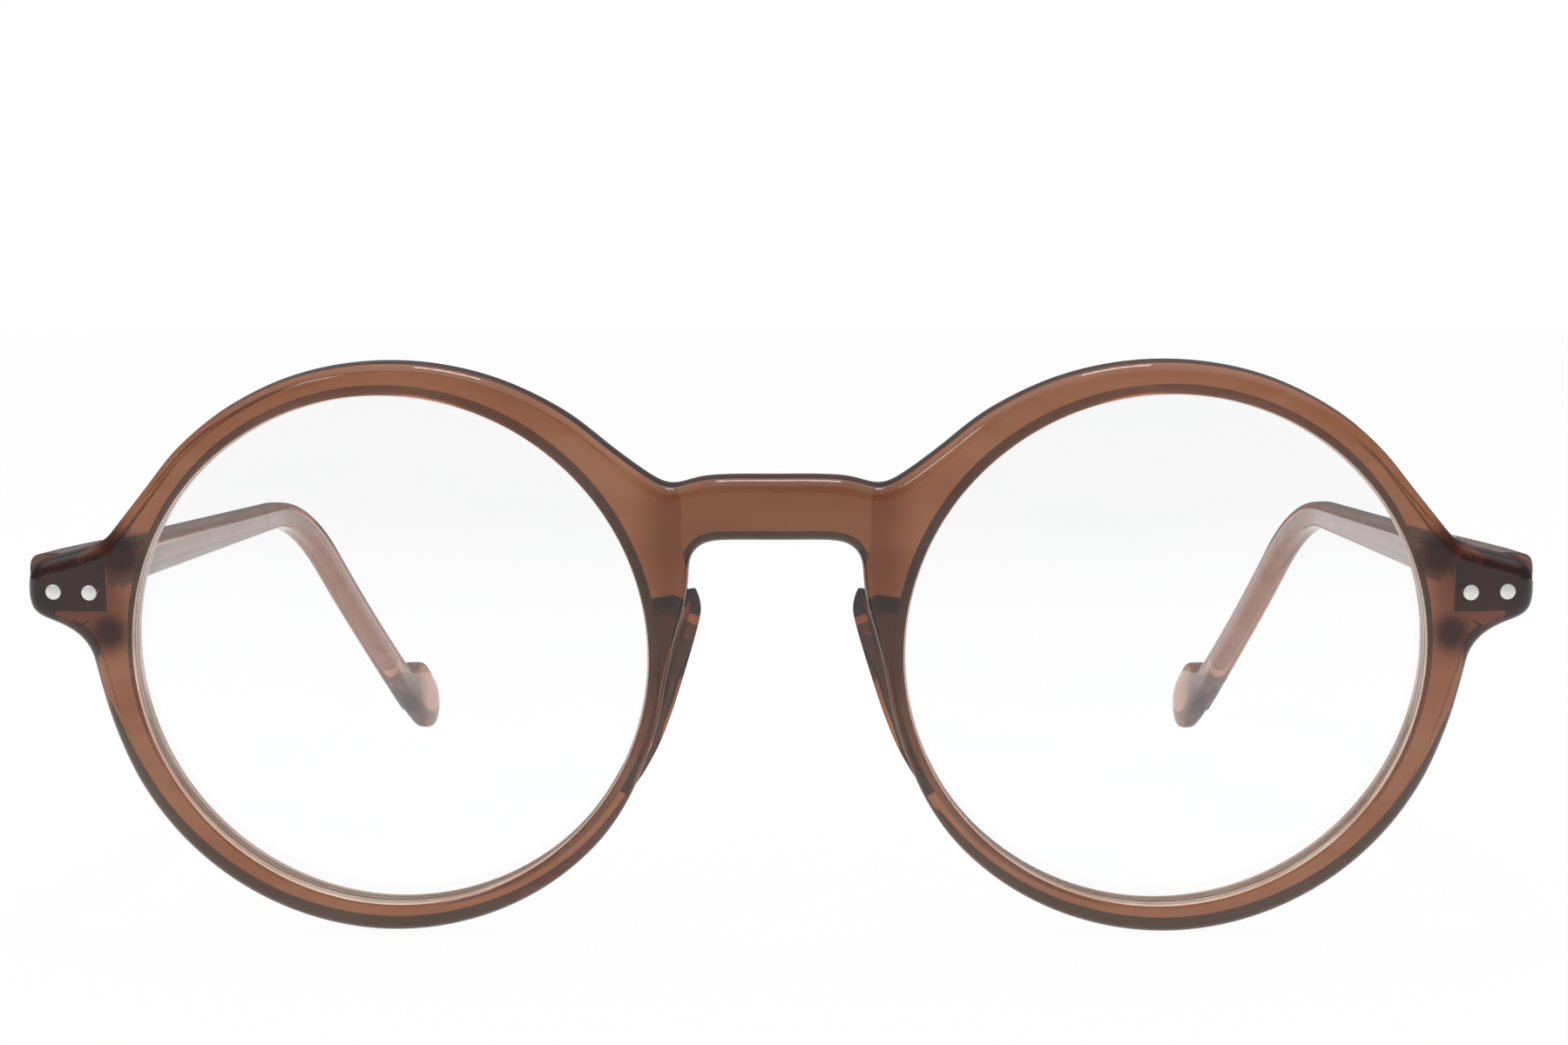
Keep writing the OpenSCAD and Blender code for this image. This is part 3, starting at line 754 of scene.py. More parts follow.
class Skin:
    """Points and faces of one closed surface while it is built."""

    def __init__(self) -> None:
        """Starts empty."""
        self.points: list[Place] = []
        self.faces: list[tuple[int, ...]] = []

    def add_points(self, points: Iterable[Sequence[float]]) -> list[int]:
        """Adds points and returns their indices."""
        start = len(self.points)
        self.points.extend(tuple(float(c) for c in p) for p in points)
        return list(range(start, len(self.points)))

    def join_loops(self, loops: Sequence[Sequence[int]]) -> None:
        """Joins closed loops of as many points each, one after another, with quads."""
        for a, b in zip(loops, loops[1:]):
            n = len(a)
            self.faces.extend((a[i], a[(i + 1) % n], b[(i + 1) % n], b[i]) for i in range(n))

    def cap(self, loop: Sequence[int]) -> None:
        """Closes a loop with a fan round its middle."""
        middle = np.array([self.points[i] for i in loop]).mean(0)
        (hub,) = self.add_points([middle])
        n = len(loop)
        self.faces.extend((loop[i], loop[(i + 1) % n], hub) for i in range(n))

    def close_tube(self, loops: Sequence[Sequence[int]]) -> None:
        """Joins loops to a tube and closes both of its ends."""
        self.join_loops(loops)
        self.cap(loops[0])
        self.cap(loops[-1])

    def add_box(self, low: Place, high: Place) -> None:
        """Adds a separate box."""
        ends = list(zip(low, high))
        at = self.add_points((x, y, z) for x in ends[0] for y in ends[1] for z in ends[2])
        for face in ((0, 1, 3, 2), (4, 6, 7, 5), (0, 4, 5, 1), (2, 3, 7, 6), (0, 2, 6, 4), (1, 5, 7, 3)):
            self.faces.append(tuple(at[i] for i in face))

    def add_prism(self, outline: Sequence[Flat], low: float, high: float) -> None:
        """Adds a separate prism of an outline in X and Y, from one height to another."""
        n = len(outline)
        at = [self.add_points((x, y, z) for x, y in outline) for z in (low, high)]
        self.join_loops(at)
        self.faces.extend([tuple(at[0]), tuple(reversed(at[1]))])

    def add_round(self, profile: Sequence[Flat], matrix: Matrix, sides: int) -> None:
        """Adds a separate turned solid.

        Args:
            profile: Radius and height along its axis, from one end to the other; a
                radius of 0 closes an end.
            matrix: Takes the axis, which is Z, to its place.
            sides: How many points each ring has.
        """
        loops = []
        angles = [2 * math.pi * i / sides for i in range(sides)]
        for r, h in profile:
            if r <= 0:
                continue
            ring = [(r * math.cos(a), r * math.sin(a), h) for a in angles]
            loops.append(self.add_points(matrix @ Vector(p) for p in ring))
        self.join_loops(loops)
        for (r, h), loop in ((profile[0], loops[0]), (profile[-1], loops[-1])):
            if r > 0:
                self.faces.append(tuple(loop))
                continue
            (hub,) = self.add_points([matrix @ Vector((0, 0, h))])
            n = len(loop)
            self.faces.extend((loop[i], loop[(i + 1) % n], hub) for i in range(n))

    def to_object(self, name: str, matrix: Matrix) -> bpy.types.Object:
        """Makes the mesh object.

        Args:
            name: The object's name.
            matrix: Takes the points, in millimetres, to their place in millimetres.

        Returns:
            The object, at the origin, with its points in metres.
        """
        mesh = bpy.data.meshes.new(name)
        mesh.from_pydata(self.points, [], self.faces)
        mesh.transform(Matrix.Scale(0.001, 4) @ matrix)
        work = bmesh.new()
        work.from_mesh(mesh)
        bmesh.ops.recalc_face_normals(work, faces=work.faces)
        work.to_mesh(mesh)
        work.free()
        piece = bpy.data.objects.new(name, mesh)
        bpy.context.scene.collection.objects.link(piece)
        return piece


def cut_away(piece: bpy.types.Object, cutters: Sequence[bpy.types.Object]) -> None:
    """Cuts each cutter out of a piece for good, and deletes the cutters.

    Args:
        piece: The mesh object that is cut.
        cutters: The closed mesh objects that are cut out of it.
    """
    for cutter in cutters:
        modifier = piece.modifiers.new("cut", "BOOLEAN")
        modifier.operation = "DIFFERENCE"
        modifier.solver = "EXACT"
        modifier.object = cutter
        settle(piece)
        bpy.data.objects.remove(cutter)


def settle(piece: bpy.types.Object) -> None:
    """Applies a piece's modifiers to its mesh."""
    bpy.context.view_layer.update()
    evaluated = piece.evaluated_get(bpy.context.evaluated_depsgraph_get())
    mesh = bpy.data.meshes.new_from_object(evaluated)
    piece.modifiers.clear()
    old, piece.data = piece.data, mesh
    bpy.data.meshes.remove(old)


def smooth_below(piece: bpy.types.Object, degrees: float) -> None:
    """Shades a mesh smooth, with a crisp edge where its faces meet more steeply.

    Args:
        piece: The mesh object.
        degrees: The steepest meeting of two faces that stays smooth.
    """
    work = bmesh.new()
    work.from_mesh(piece.data)
    limit = math.radians(degrees)
    for face in work.faces:
        face.smooth = True
    for edge in work.edges:
        edge.smooth = len(edge.link_faces) == 2 and edge.calc_face_angle(0.0) < limit
    work.to_mesh(piece.data)
    work.free()


def mirrored(piece: bpy.types.Object, name: str) -> bpy.types.Object:
    """Copies a piece to the other side of the middle plane.

    Args:
        piece: The mesh object at +X.
        name: The copy's name.

    Returns:
        The copy at -X.
    """
    mesh = piece.data.copy()
    mesh.name = name
    mesh.transform(Matrix.Diagonal((-1, 1, 1, 1)))
    mesh.flip_normals()
    copy = bpy.data.objects.new(name, mesh)
    bpy.context.scene.collection.objects.link(copy)
    return copy


def softened_copy(node: str, name: str, edge_mm: float) -> bpy.types.Object:
    """Copies a CAD node's solid with its edges rounded off.

    Args:
        node: The CAD node.
        name: The copy's name.
        edge_mm: The width of the rounded edges.

    Returns:
        The new piece.
    """
    work = bmesh.new()
    work.from_mesh(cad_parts[node].data)
    bmesh.ops.remove_doubles(work, verts=work.verts, dist=2e-6)
    bmesh.ops.dissolve_limit(work, angle_limit=math.radians(0.8), verts=work.verts, edges=work.edges)
    steep = [e for e in work.edges if len(e.link_faces) == 2 and e.calc_face_angle(0.0) > math.radians(35)]
    bmesh.ops.bevel(
        work,
        geom=steep,
        offset=edge_mm / 1000,
        offset_type="OFFSET",
        segments=2,
        profile=0.5,
        affect="EDGES",
        clamp_overlap=True,
    )
    mesh = bpy.data.meshes.new(name)
    work.to_mesh(mesh)
    work.free()
    piece = bpy.data.objects.new(name, mesh)
    bpy.context.scene.collection.objects.link(piece)
    smooth_below(piece, 32)
    return piece


def hand_over(
    piece: bpy.types.Object, body: str, nodes: Sequence[str], finish: bpy.types.Material
) -> bpy.types.Object:
    """Gives a piece its finish and its place in the frame.

    Args:
        piece: The finished mesh object.
        body: The CAD body that it rides on.
        nodes: The CAD nodes that it stands for.
        finish: Its material.

    Returns:
        The piece.
    """
    piece.data.materials.clear()
    piece.data.materials.append(finish)
    for polygon in piece.data.polygons:
        polygon.material_index = 0
    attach(piece, body)
    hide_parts(*nodes)
    log.info("%s: %d faces, rides on %s", piece.name, len(piece.data.polygons), body)
    return piece


# ---------------------------------------------------------------- the frames


@dataclass(frozen=True)
class Stance:
    """How the front stands and where its hinges are."""

    tilt: float = 7.0
    lift: float = 26.1694
    shift_y: float = -71.8969
    pin: Place = (63.6, 9.26978, 5.2)
    lean: float = 3.4

    @property
    def front(self) -> Matrix:
        """Takes the front's own plane to the world."""
        move = Matrix.Translation((0, self.shift_y, self.lift))
        return move @ Matrix.Rotation(math.radians(self.tilt), 4, "X")

    @property
    def hinge(self) -> Matrix:
        """Takes the +X hinge's own axes, round its pin, to the world."""
        return self.front @ Matrix.Translation(self.pin) @ Matrix.Rotation(math.radians(self.lean), 4, "Z")

    @property
    def temple(self) -> Matrix:
        """Takes the +X temple's own axes, level at its pin, to the world."""
        return self.hinge @ Matrix.Rotation(math.radians(-self.tilt), 4, "X")


@dataclass
class HingeSizes:
    """Sizes that the front, the temples and the hinges share."""

    pin_inset: float = 5.3
    pin_back: float = 1.7
    mitre: float = 1.6
    butt_gap: float = 0.08
    leaf_t: float = 1.0
    leaf_h: float = 4.3
    leaf_in: float = 1.95
    leaf_out: float = 3.45
    seat_in: float = 3.2
    pocket_clear: float = 0.05
    rivet_r: float = 0.72
    rivet_clear: float = 0.02
    rivet_pitch: float = 3.4
    rivet_dome: float = 0.15
    temple_leaf_l: float = 9.6
    knuckle_r: float = 1.3
    rivet_margin: float = 2.0
    temple_t: float = 3.5

    @property
    def front_rivets(self) -> tuple[float, float]:
        """How far outwards of the pin each front rivet is."""
        first = (self.leaf_out - self.leaf_in - self.rivet_pitch) / 2
        return first, first + self.rivet_pitch

    @property
    def temple_rivets(self) -> tuple[float, float]:
        """How far behind the pin each temple rivet is."""
        last = self.temple_leaf_l - self.knuckle_r - self.rivet_margin
        return last - self.rivet_pitch, last

    @property
    def temple_side(self) -> float:
        """How far outwards of the pin the temple's inner side is."""
        return self.pin_inset - self.temple_t


@dataclass
class Front:
    """The front: a curved plate with two grooved rims and a keyhole bridge."""

    stance: Stance
    hinges: HingeSizes
    lens_d: float = 49.0
    lens_gap: float = 21.5
    lens_t: float = 1.8
    bevel_h: float = 0.75
    groove_clear: float = 0.07
    thick: float = 4.2
    curve_r: float = 580.0
    top_w: float = 2.8
    brow_w: float = 4.1
    side_w: float = 3.45
    bottom_w: float = 2.75
    nose_w: float = 1.5
    bridge_top: float = 16.3
    bridge_under: float = 10.6
    saddle_dip: float = 0.9
    keyhole_w: float = 15.8
    relief: float = 0.9
    relief_w: float = 17.2
    end_reach: float = 9.9
    end_h: float = 5.2
    edge_round: float = 1.15
    opening_round: float = 0.38
    round_steps: int = 8

    @property
    def open_r(self) -> float:
        """Radius of a lens opening."""
        return self.lens_d / 2 - self.bevel_h

    @property
    def lens_x(self) -> float:
        """Distance of a lens centre from the middle."""
        return (self.lens_d + self.lens_gap) / 2

    @property
    def end_x(self) -> float:
        """Half of the front's width."""
        return self.lens_x + self.open_r + self.end_reach

    @property
    def lens_turn(self) -> float:
        """Angle by which a lens axis turns outwards, in radians."""
        return math.asin(self.lens_x / (self.curve_r - self.thick / 2))

    @property
    def lens_y(self) -> float:
        """Depth of a lens centre."""
        return self.curve_r - (self.curve_r - self.thick / 2) * math.cos(self.lens_turn)

    def depth(self, x: float, t: float) -> float:
        """Depth of a point of the plate.

        Args:
            x: Distance from the middle.
            t: Distance behind the front face.

        Returns:
            Its Y.
        """
        share = t / self.thick
        face = self.curve_r - math.sqrt(self.curve_r**2 - x * x)
        back = self.curve_r - math.sqrt((self.curve_r - self.thick) ** 2 - x * x)
        return face + (back - face) * share

    def rim_width(self, angle: float) -> float:
        """Face width of a rim in a direction from its lens centre.

        Args:
            angle: 0 outwards and 90 up, in degrees.

        Returns:
            The width.
        """
        table = (
            (-158, self.nose_w),
            (-138, (self.nose_w + self.bottom_w) / 2),
            (-90, self.bottom_w),
            (-45, (self.bottom_w + 2 * self.side_w) / 3),
            (-12, self.side_w),
            (38, self.top_w + 0.2),
            (62, self.top_w),
            (90, self.top_w),
            (105, self.top_w + 0.3),
            (120, (self.top_w + self.brow_w) / 2),
            (138, self.brow_w),
        )
        return float(np.interp(angle, [a for a, _ in table], [w for _, w in table]))

    def from_lens(self, radius: float, angle: float) -> Flat:
        """A point at a radius and an angle in degrees from the lens centre."""
        a = math.radians(angle)
        return self.lens_x + radius * math.cos(a), radius * math.sin(a)

    def rim_edge(self, angle: float) -> Flat:
        """A point of the rim's outer edge in a direction in degrees."""
        return self.from_lens(self.open_r + self.rim_width(angle), angle)

    def outline(self) -> np.ndarray:
        """The front's outline, clockwise, evenly spaced."""
        x, v = self.end_x, self.stance.pin[2]
        up, low = v + self.end_h / 2, v - self.end_h / 2
        half_key, key_v = self.keyhole_w / 2, self.bridge_under - 2.4
        brow = self.rim_edge(138)
        saddle = (brow[0] - 5.1, self.bridge_top - self.saddle_dip)
        past = (saddle[0] + (brow[0] - saddle[0]) * 0.4, saddle[1] + (brow[1] - saddle[1]) * 0.4 - 0.3)
        bridge = [
            (0.0, self.bridge_top),
            (saddle[0] * 0.42, self.bridge_top),
            (saddle[0] * 0.72, self.bridge_top - self.saddle_dip * 0.22),
            saddle,
            past,
        ]
        over_rim = [self.rim_edge(a) for a in (138, 126, 112, 98, 84, 70, 56, 44, 33)]
        end = [
            self.from_lens(self.open_r + self.side_w + 0.4, 24),
            (x - 7.2, up + 2),
            (x - 5.3, up + 1.2),
            (x - 3.2, up + 0.55),
            (x - 1.3, up),
            (x - 0.35, up - 0.5),
            (x, up - 1.6),
            (x, low + 1.6),
            (x - 0.35, low + 0.5),
            (x - 1.3, low),
            (x - 3.2, low - 0.7),
            (x - 4.7, low - 1.65),
            (x - 5.75, low - 3.1),
            self.from_lens(self.open_r + self.side_w + 0.35, -5.5),
        ]
        under_rim = [self.rim_edge(a) for a in (*range(-16, -137, -12), -147)]
        last = self.rim_edge(-175)
        nose = [
            self.rim_edge(-158),
            self.rim_edge(-167),
            (last[0] - 0.1, last[1]),
            (half_key + 1.3, 1.2),
            (half_key + 0.45, 4.2),
            (half_key, key_v - 1.2),
            (half_key, key_v),
            (half_key - 0.35, key_v + 1.3),
            (half_key - 1.5, key_v + 2.2),
            (half_key - 3.4, self.bridge_under),
            (0.0, self.bridge_under),
        ]
        half = [*bridge, *over_rim, *end, *under_rim, *nose]
        guided = [(-half[1][0], half[1][1]), *half, (-half[-2][0], half[-2][1])]
        drawn = [*smooth_curve(guided, 14), half[-1]]
        loop = drawn + [(-p[0], p[1]) for p in reversed(drawn[1:-1])]
        return evened_loop(loop, 0.42, 6)

    def rounding(self, radius: float) -> list[Flat]:
        """A rounded edge as pairs of inset and depth, from the face to the wall."""
        steps = [math.radians(90 * i / self.round_steps) for i in range(self.round_steps + 1)]
        return [(radius * (1 - math.sin(a)), radius * (1 - math.cos(a))) for a in steps]

    def edge_rounds(self, edge: np.ndarray) -> np.ndarray:
        """How far the rim is rounded at each point of its outline.

        Args:
            edge: The outline's points.

        Returns:
            The radius at each point, less where the rim is narrow.
        """
        across = np.hypot(np.abs(edge[:, 0]) - self.lens_x, edge[:, 1]) - self.open_r
        return np.clip((across - self.opening_round - 0.1) * 0.55, 0.3, self.edge_round)

    def lens_point(self, radius: float, angle: float, t: float | None, w: float = 0.0) -> Place:
        """A point round a lens axis.

        Args:
            radius: Its distance from the axis.
            angle: Its direction, in radians.
            t: Its distance behind the front face, or None.
            w: Its place along the axis, where t is None.

        Returns:
            The point on the +X side.
        """
        turn = self.lens_turn
        out, up = radius * math.cos(angle), radius * math.sin(angle)
        for _ in range(4):
            x = self.lens_x + out * math.cos(turn) - w * math.sin(turn)
            if t is None:
                break
            w = (self.depth(x, t) - self.lens_y - out * math.sin(turn)) / math.cos(turn)
        y = self.lens_y + out * math.sin(turn) + w * math.cos(turn)
        return x, y, up

    def opening_loops(self, sides: int) -> list[list[Place]]:
        """The rings of a lens opening on the +X side, from the front face to the back."""
        r, soft = self.open_r, self.opening_round
        apex = self.lens_d / 2 + self.groove_clear
        half_groove = (apex - r) * self.lens_t / 2 / self.bevel_h
        face = [(r + soft + 0.1, 0.0), *((r + e, t) for e, t in self.rounding(soft))]
        back = [(rr, self.thick - t) for rr, t in reversed(face)]
        angles = [2 * math.pi * i / sides for i in range(sides)]
        loops = [[self.lens_point(rr, a, t) for a in angles] for rr, t in face]
        lip = 0.02
        groove = (
            (r, -half_groove),
            (r + lip, -half_groove + lip),
            (apex, 0.0),
            (r + lip, half_groove - lip),
            (r, half_groove),
        )
        for rr, w in groove:
            loops.append([self.lens_point(rr, a, None, w) for a in angles])
        loops += [[self.lens_point(rr, a, t) for a in angles] for rr, t in back]
        return loops

    def plate(self) -> Skin:
        """The whole plate before its seats, pockets and relief are cut."""
        skin = Skin()
        edge = self.outline()
        normal = outward(edge)
        radii = self.edge_rounds(edge)
        flush = radii * 0
        face = [(radii + 0.08, flush), *((radii * e, radii * t) for e, t in self.rounding(1.0))]
        back = [(e, self.thick - t) for e, t in reversed(face)]
        profile = [*face, (flush, flush + self.thick / 2), *back]
        outer = []
        for inset, deep in profile:
            ring = edge - normal * inset[:, None]
            outer.append(skin.add_points((x, self.depth(x, t), z) for (x, z), t in zip(ring, deep)))
        skin.join_loops(outer)
        loops = self.opening_loops(300)
        openings = []
        for sign in (1, -1):
            rings = [skin.add_points((sign * x, y, z) for x, y, z in loop) for loop in loops]
            skin.join_loops(rings)
            openings.append(rings)
        for last, t in ((0, 0.0), (-1, self.thick)):
            around = [outer[last], openings[0][last], openings[1][last]]
            flat = [np.array([(skin.points[i][0], skin.points[i][2]) for i in loop]) for loop in around]
            extra, triangles = filled_between(flat[0], flat[1:], 1.15)
            index = [i for loop in around for i in loop]
            index += skin.add_points((x, self.depth(x, t), z) for x, z in extra)
            skin.faces.extend(tuple(index[i] for i in tri) for tri in triangles)
        return skin

    def cutters(self) -> list[bpy.types.Object]:
        """The seats, mitres, leaf pockets, rivet holes and the bridge relief."""
        h, front = self.hinges, self.stance.front
        local = Matrix.Translation(self.stance.pin) @ Matrix.Rotation(math.radians(self.stance.lean), 4, "Z")
        seat, mitre, pocket, holes = Skin(), Skin(), Skin(), Skin()
        seat.add_box((-h.seat_in, -h.pin_back, -12), (11, 8.3, 12))
        out = h.pin_inset + 1
        start = h.pin_inset - h.mitre
        corners = [
            (start, -h.pin_back),
            (out, -h.pin_back - h.mitre - 1),
            (out, 1 - h.pin_back),
            (start, 1 - h.pin_back),
        ]
        mitre.add_prism(corners, -12, 12)
        c = h.pocket_clear
        high = h.leaf_h / 2 + c
        pocket.add_box((-h.leaf_in - c, -h.pin_back - h.leaf_t - 0.03, -high), (h.leaf_out + c, 1, high))
        for x in h.front_rivets:
            turn = Matrix.Translation((x, 0, 0)) @ Matrix.Rotation(math.radians(90), 4, "X")
            r = h.rivet_r + h.rivet_clear
            holes.add_round([(r, 0.0), (r, 12.0)], turn, 64)
        made = []
        for skin, name in ((seat, "seat"), (mitre, "mitre"), (pocket, "pocket"), (holes, "holes")):
            both = Skin()
            for sign in (1, -1):
                place = Matrix.Diagonal((sign, 1, 1, 1)) @ local
                at = both.add_points(place @ Vector(p) for p in skin.points)
                both.faces.extend(tuple(at[i] for i in f) for f in skin.faces)
            made.append(both.to_object(name, front))
        relief = Skin()
        deep = self.depth(0, self.thick) - self.relief
        low = self.bridge_under - 4
        relief.add_box((-self.relief_w / 2, deep, low), (self.relief_w / 2, deep + 4, self.bridge_top + 1))
        made.append(relief.to_object("relief", front))
        return made

    def polish_openings(self, piece: bpy.types.Object, finish: bpy.types.Material) -> None:
        """Gives the walls and grooves of the lens openings their own finish, with its painted glow.

        Args:
            piece: The front.
            finish: The walls' finish, with its painted glow.
        """
        piece.data.materials.append(finish)
        back = self.stance.front.inverted()
        for polygon in piece.data.polygons:
            at = back @ (polygon.center * 1000)
            away = math.hypot(abs(at.x) - self.lens_x, at.z) - self.open_r
            steep = abs((back.to_3x3() @ polygon.normal).y) < 0.72
            if steep and away < 0.78:
                polygon.material_index = 1

    def build(self, finishes: Finishes) -> None:
        """Builds and dresses the front."""
        piece = self.plate().to_object("front_plate", self.stance.front)
        cut_away(piece, self.cutters())
        smooth_below(piece, 28)
        hand_over(piece, "front", ["front_frame"], finishes.front)
        self.polish_openings(piece, finishes.opening)


@dataclass
class Lenses:
    """The two clear lenses, each with a bevel round its edge."""

    front: Front
    surface_r: float = 160.0
    rings: int = 26
    sides: int = 220

    def profile(self) -> list[Flat]:
        """Radius and place along the axis, from the front's middle round to the back's."""
        f = self.front
        edge = f.open_r - 0.1
        dip = self.surface_r - math.sqrt(self.surface_r**2 - edge * edge)

        def face(r: float) -> float:
            """Place of the front surface at a radius."""
            return self.surface_r - math.sqrt(self.surface_r**2 - r * r) - dip - f.lens_t / 2

        radii = [edge * i / self.rings for i in range(self.rings)] + [edge - 0.04]
        front = [(r, face(r)) for r in radii]
        tip = f.lens_d / 2
        bevel = [(edge, face(edge) + 0.03), (tip - 0.03, -0.04), (tip, 0.0), (tip - 0.03, 0.04)]
        bevel.append((edge, face(edge) + f.lens_t - 0.03))
        return [*front, *bevel, *((r, w + f.lens_t) for r, w in reversed(front))]

    def grind(self, piece: bpy.types.Object, finish: bpy.types.Material) -> None:
        """Gives a lens's bevel its ground finish, with the rim's colour painted on it as a painted
        reflection.

        Args:
            piece: The lens.
            finish: The ground finish, with its painted reflection.
        """
        piece.data.materials.append(finish)
        centre = sum((v.co for v in piece.data.vertices), Vector()) / len(piece.data.vertices)
        limit = (self.front.open_r - 0.12) / 1000
        for polygon in piece.data.polygons:
            nearest = min((piece.data.vertices[i].co - centre).length for i in polygon.vertices)
            if nearest > limit:
                polygon.material_index = 1

    def build(self, finishes: Finishes) -> None:
        """Builds and dresses both lenses."""
        f = self.front
        turn = Matrix.Rotation(f.lens_turn, 4, "Z") @ Matrix.Rotation(math.radians(-90), 4, "X")
        skin = Skin()
        skin.add_round(self.profile(), Matrix.Translation((f.lens_x, f.lens_y, 0)) @ turn, self.sides)
        left = skin.to_object("lens_disc_left", f.stance.front)
        smooth_below(left, 30)
        right = mirrored(left, "lens_disc_right")
        for piece, side in ((left, Side.LEFT), (right, Side.RIGHT)):
            hand_over(piece, "front", [f"lens_{side.word}"], finishes.lens)
            self.grind(piece, finishes.lens_edge)


@dataclass
class NosePads:
    """The two rounded pads glued behind the nose sides of the rims."""

    front: Front
    gap: float = 14.0
    high: float = 4.6
    top: float = 5.4
    bottom: float = 14.2
    spread: float = 6.3
    thin: float = 0.5
    edge: float = 0.5
    inset: float = 0.6
    splay: float = 0.3
    glue: float = 0.02

    def nose_side(self) -> list[Flat]:
        """The pad's nose side from its top to its bottom."""
        table = (
            (-0.05, 0.17),
            (0, 0.07),
            (0.05, 0.015),
            (0.1, 0),
            (0.155, 0.03),
            (0.27, 0.127),
            (0.44, 0.286),
            (0.62, 0.468),
            (0.815, 0.714),
            (1, 1),
            (1.11, 1.317),
        )
        points = [(self.gap / 2 + self.spread * s, self.top - (self.top + self.bottom) * t) for t, s in table]
        return [*smooth_curve(points, 8), points[-2]]

    def ring(self, q: Flat, t: float) -> list[Place]:
        """One section of a pad.

        Args:
            q: The nose side's point there.
            t: The share of the pad's length.

        Returns:
            The section's points on the +X side.
        """
        f = self.front
        out = np.array([q[0] - f.lens_x, q[1]])
        r = float(np.linalg.norm(out))
        e = out / r
        swell = math.sin(math.pi * min(1.0, max(0.0, t)) ** 0.85) ** 0.7 if 0 < t < 1 else 0.0
        d = self.thin + (self.high - self.thin) * swell
        r -= 0.6 * max(0.0, (t - 0.8) / 0.2) ** 2
        inner = f.open_r + self.inset
        w = r - inner
        g = min(self.splay * d, w * 0.55)
        c = min(self.edge, d * 0.4, w * 0.2)
        bend = [
            (r, self.thin * 0.1),
            (r, self.thin * 0.3),
            (r - g * 0.5, d * 0.5),
            (r - g + self.edge * 0.2, d - c),
            (r - g - c * 0.3, d - c * 0.3),
            (r - g - c, d),
            (inner + c, d),
            (inner + c * 0.3, d - c * 0.3),
            (inner, d - c),
            (inner, self.thin * 0.1),
        ]
        eased = smooth_curve([bend[0], *bend, bend[-1]], 4) + [bend[-1]]
        section = [(inner, 0.0), (r, 0.0), *eased]
        points = []
        for k, h in section:
            x = f.lens_x + e[0] * k
            points.append((x, f.depth(x, f.thick) + self.glue + h, e[1] * k))
        return points

    def build(self, finishes: Finishes) -> None:
        """Builds and dresses both pads."""
        side = self.nose_side()
        skin = Skin()
        loops = [skin.add_points(self.ring(q, i / (len(side) - 1))) for i, q in enumerate(side)]
        skin.close_tube(loops)
        left = skin.to_object("pad_left", self.front.stance.front)
        smooth_below(left, 42)
        right = mirrored(left, "pad_right")
        for piece, where in ((left, Side.LEFT), (right, Side.RIGHT)):
            hand_over(piece, "front", [f"nose_pad_{where.word}"], finishes.acetate)


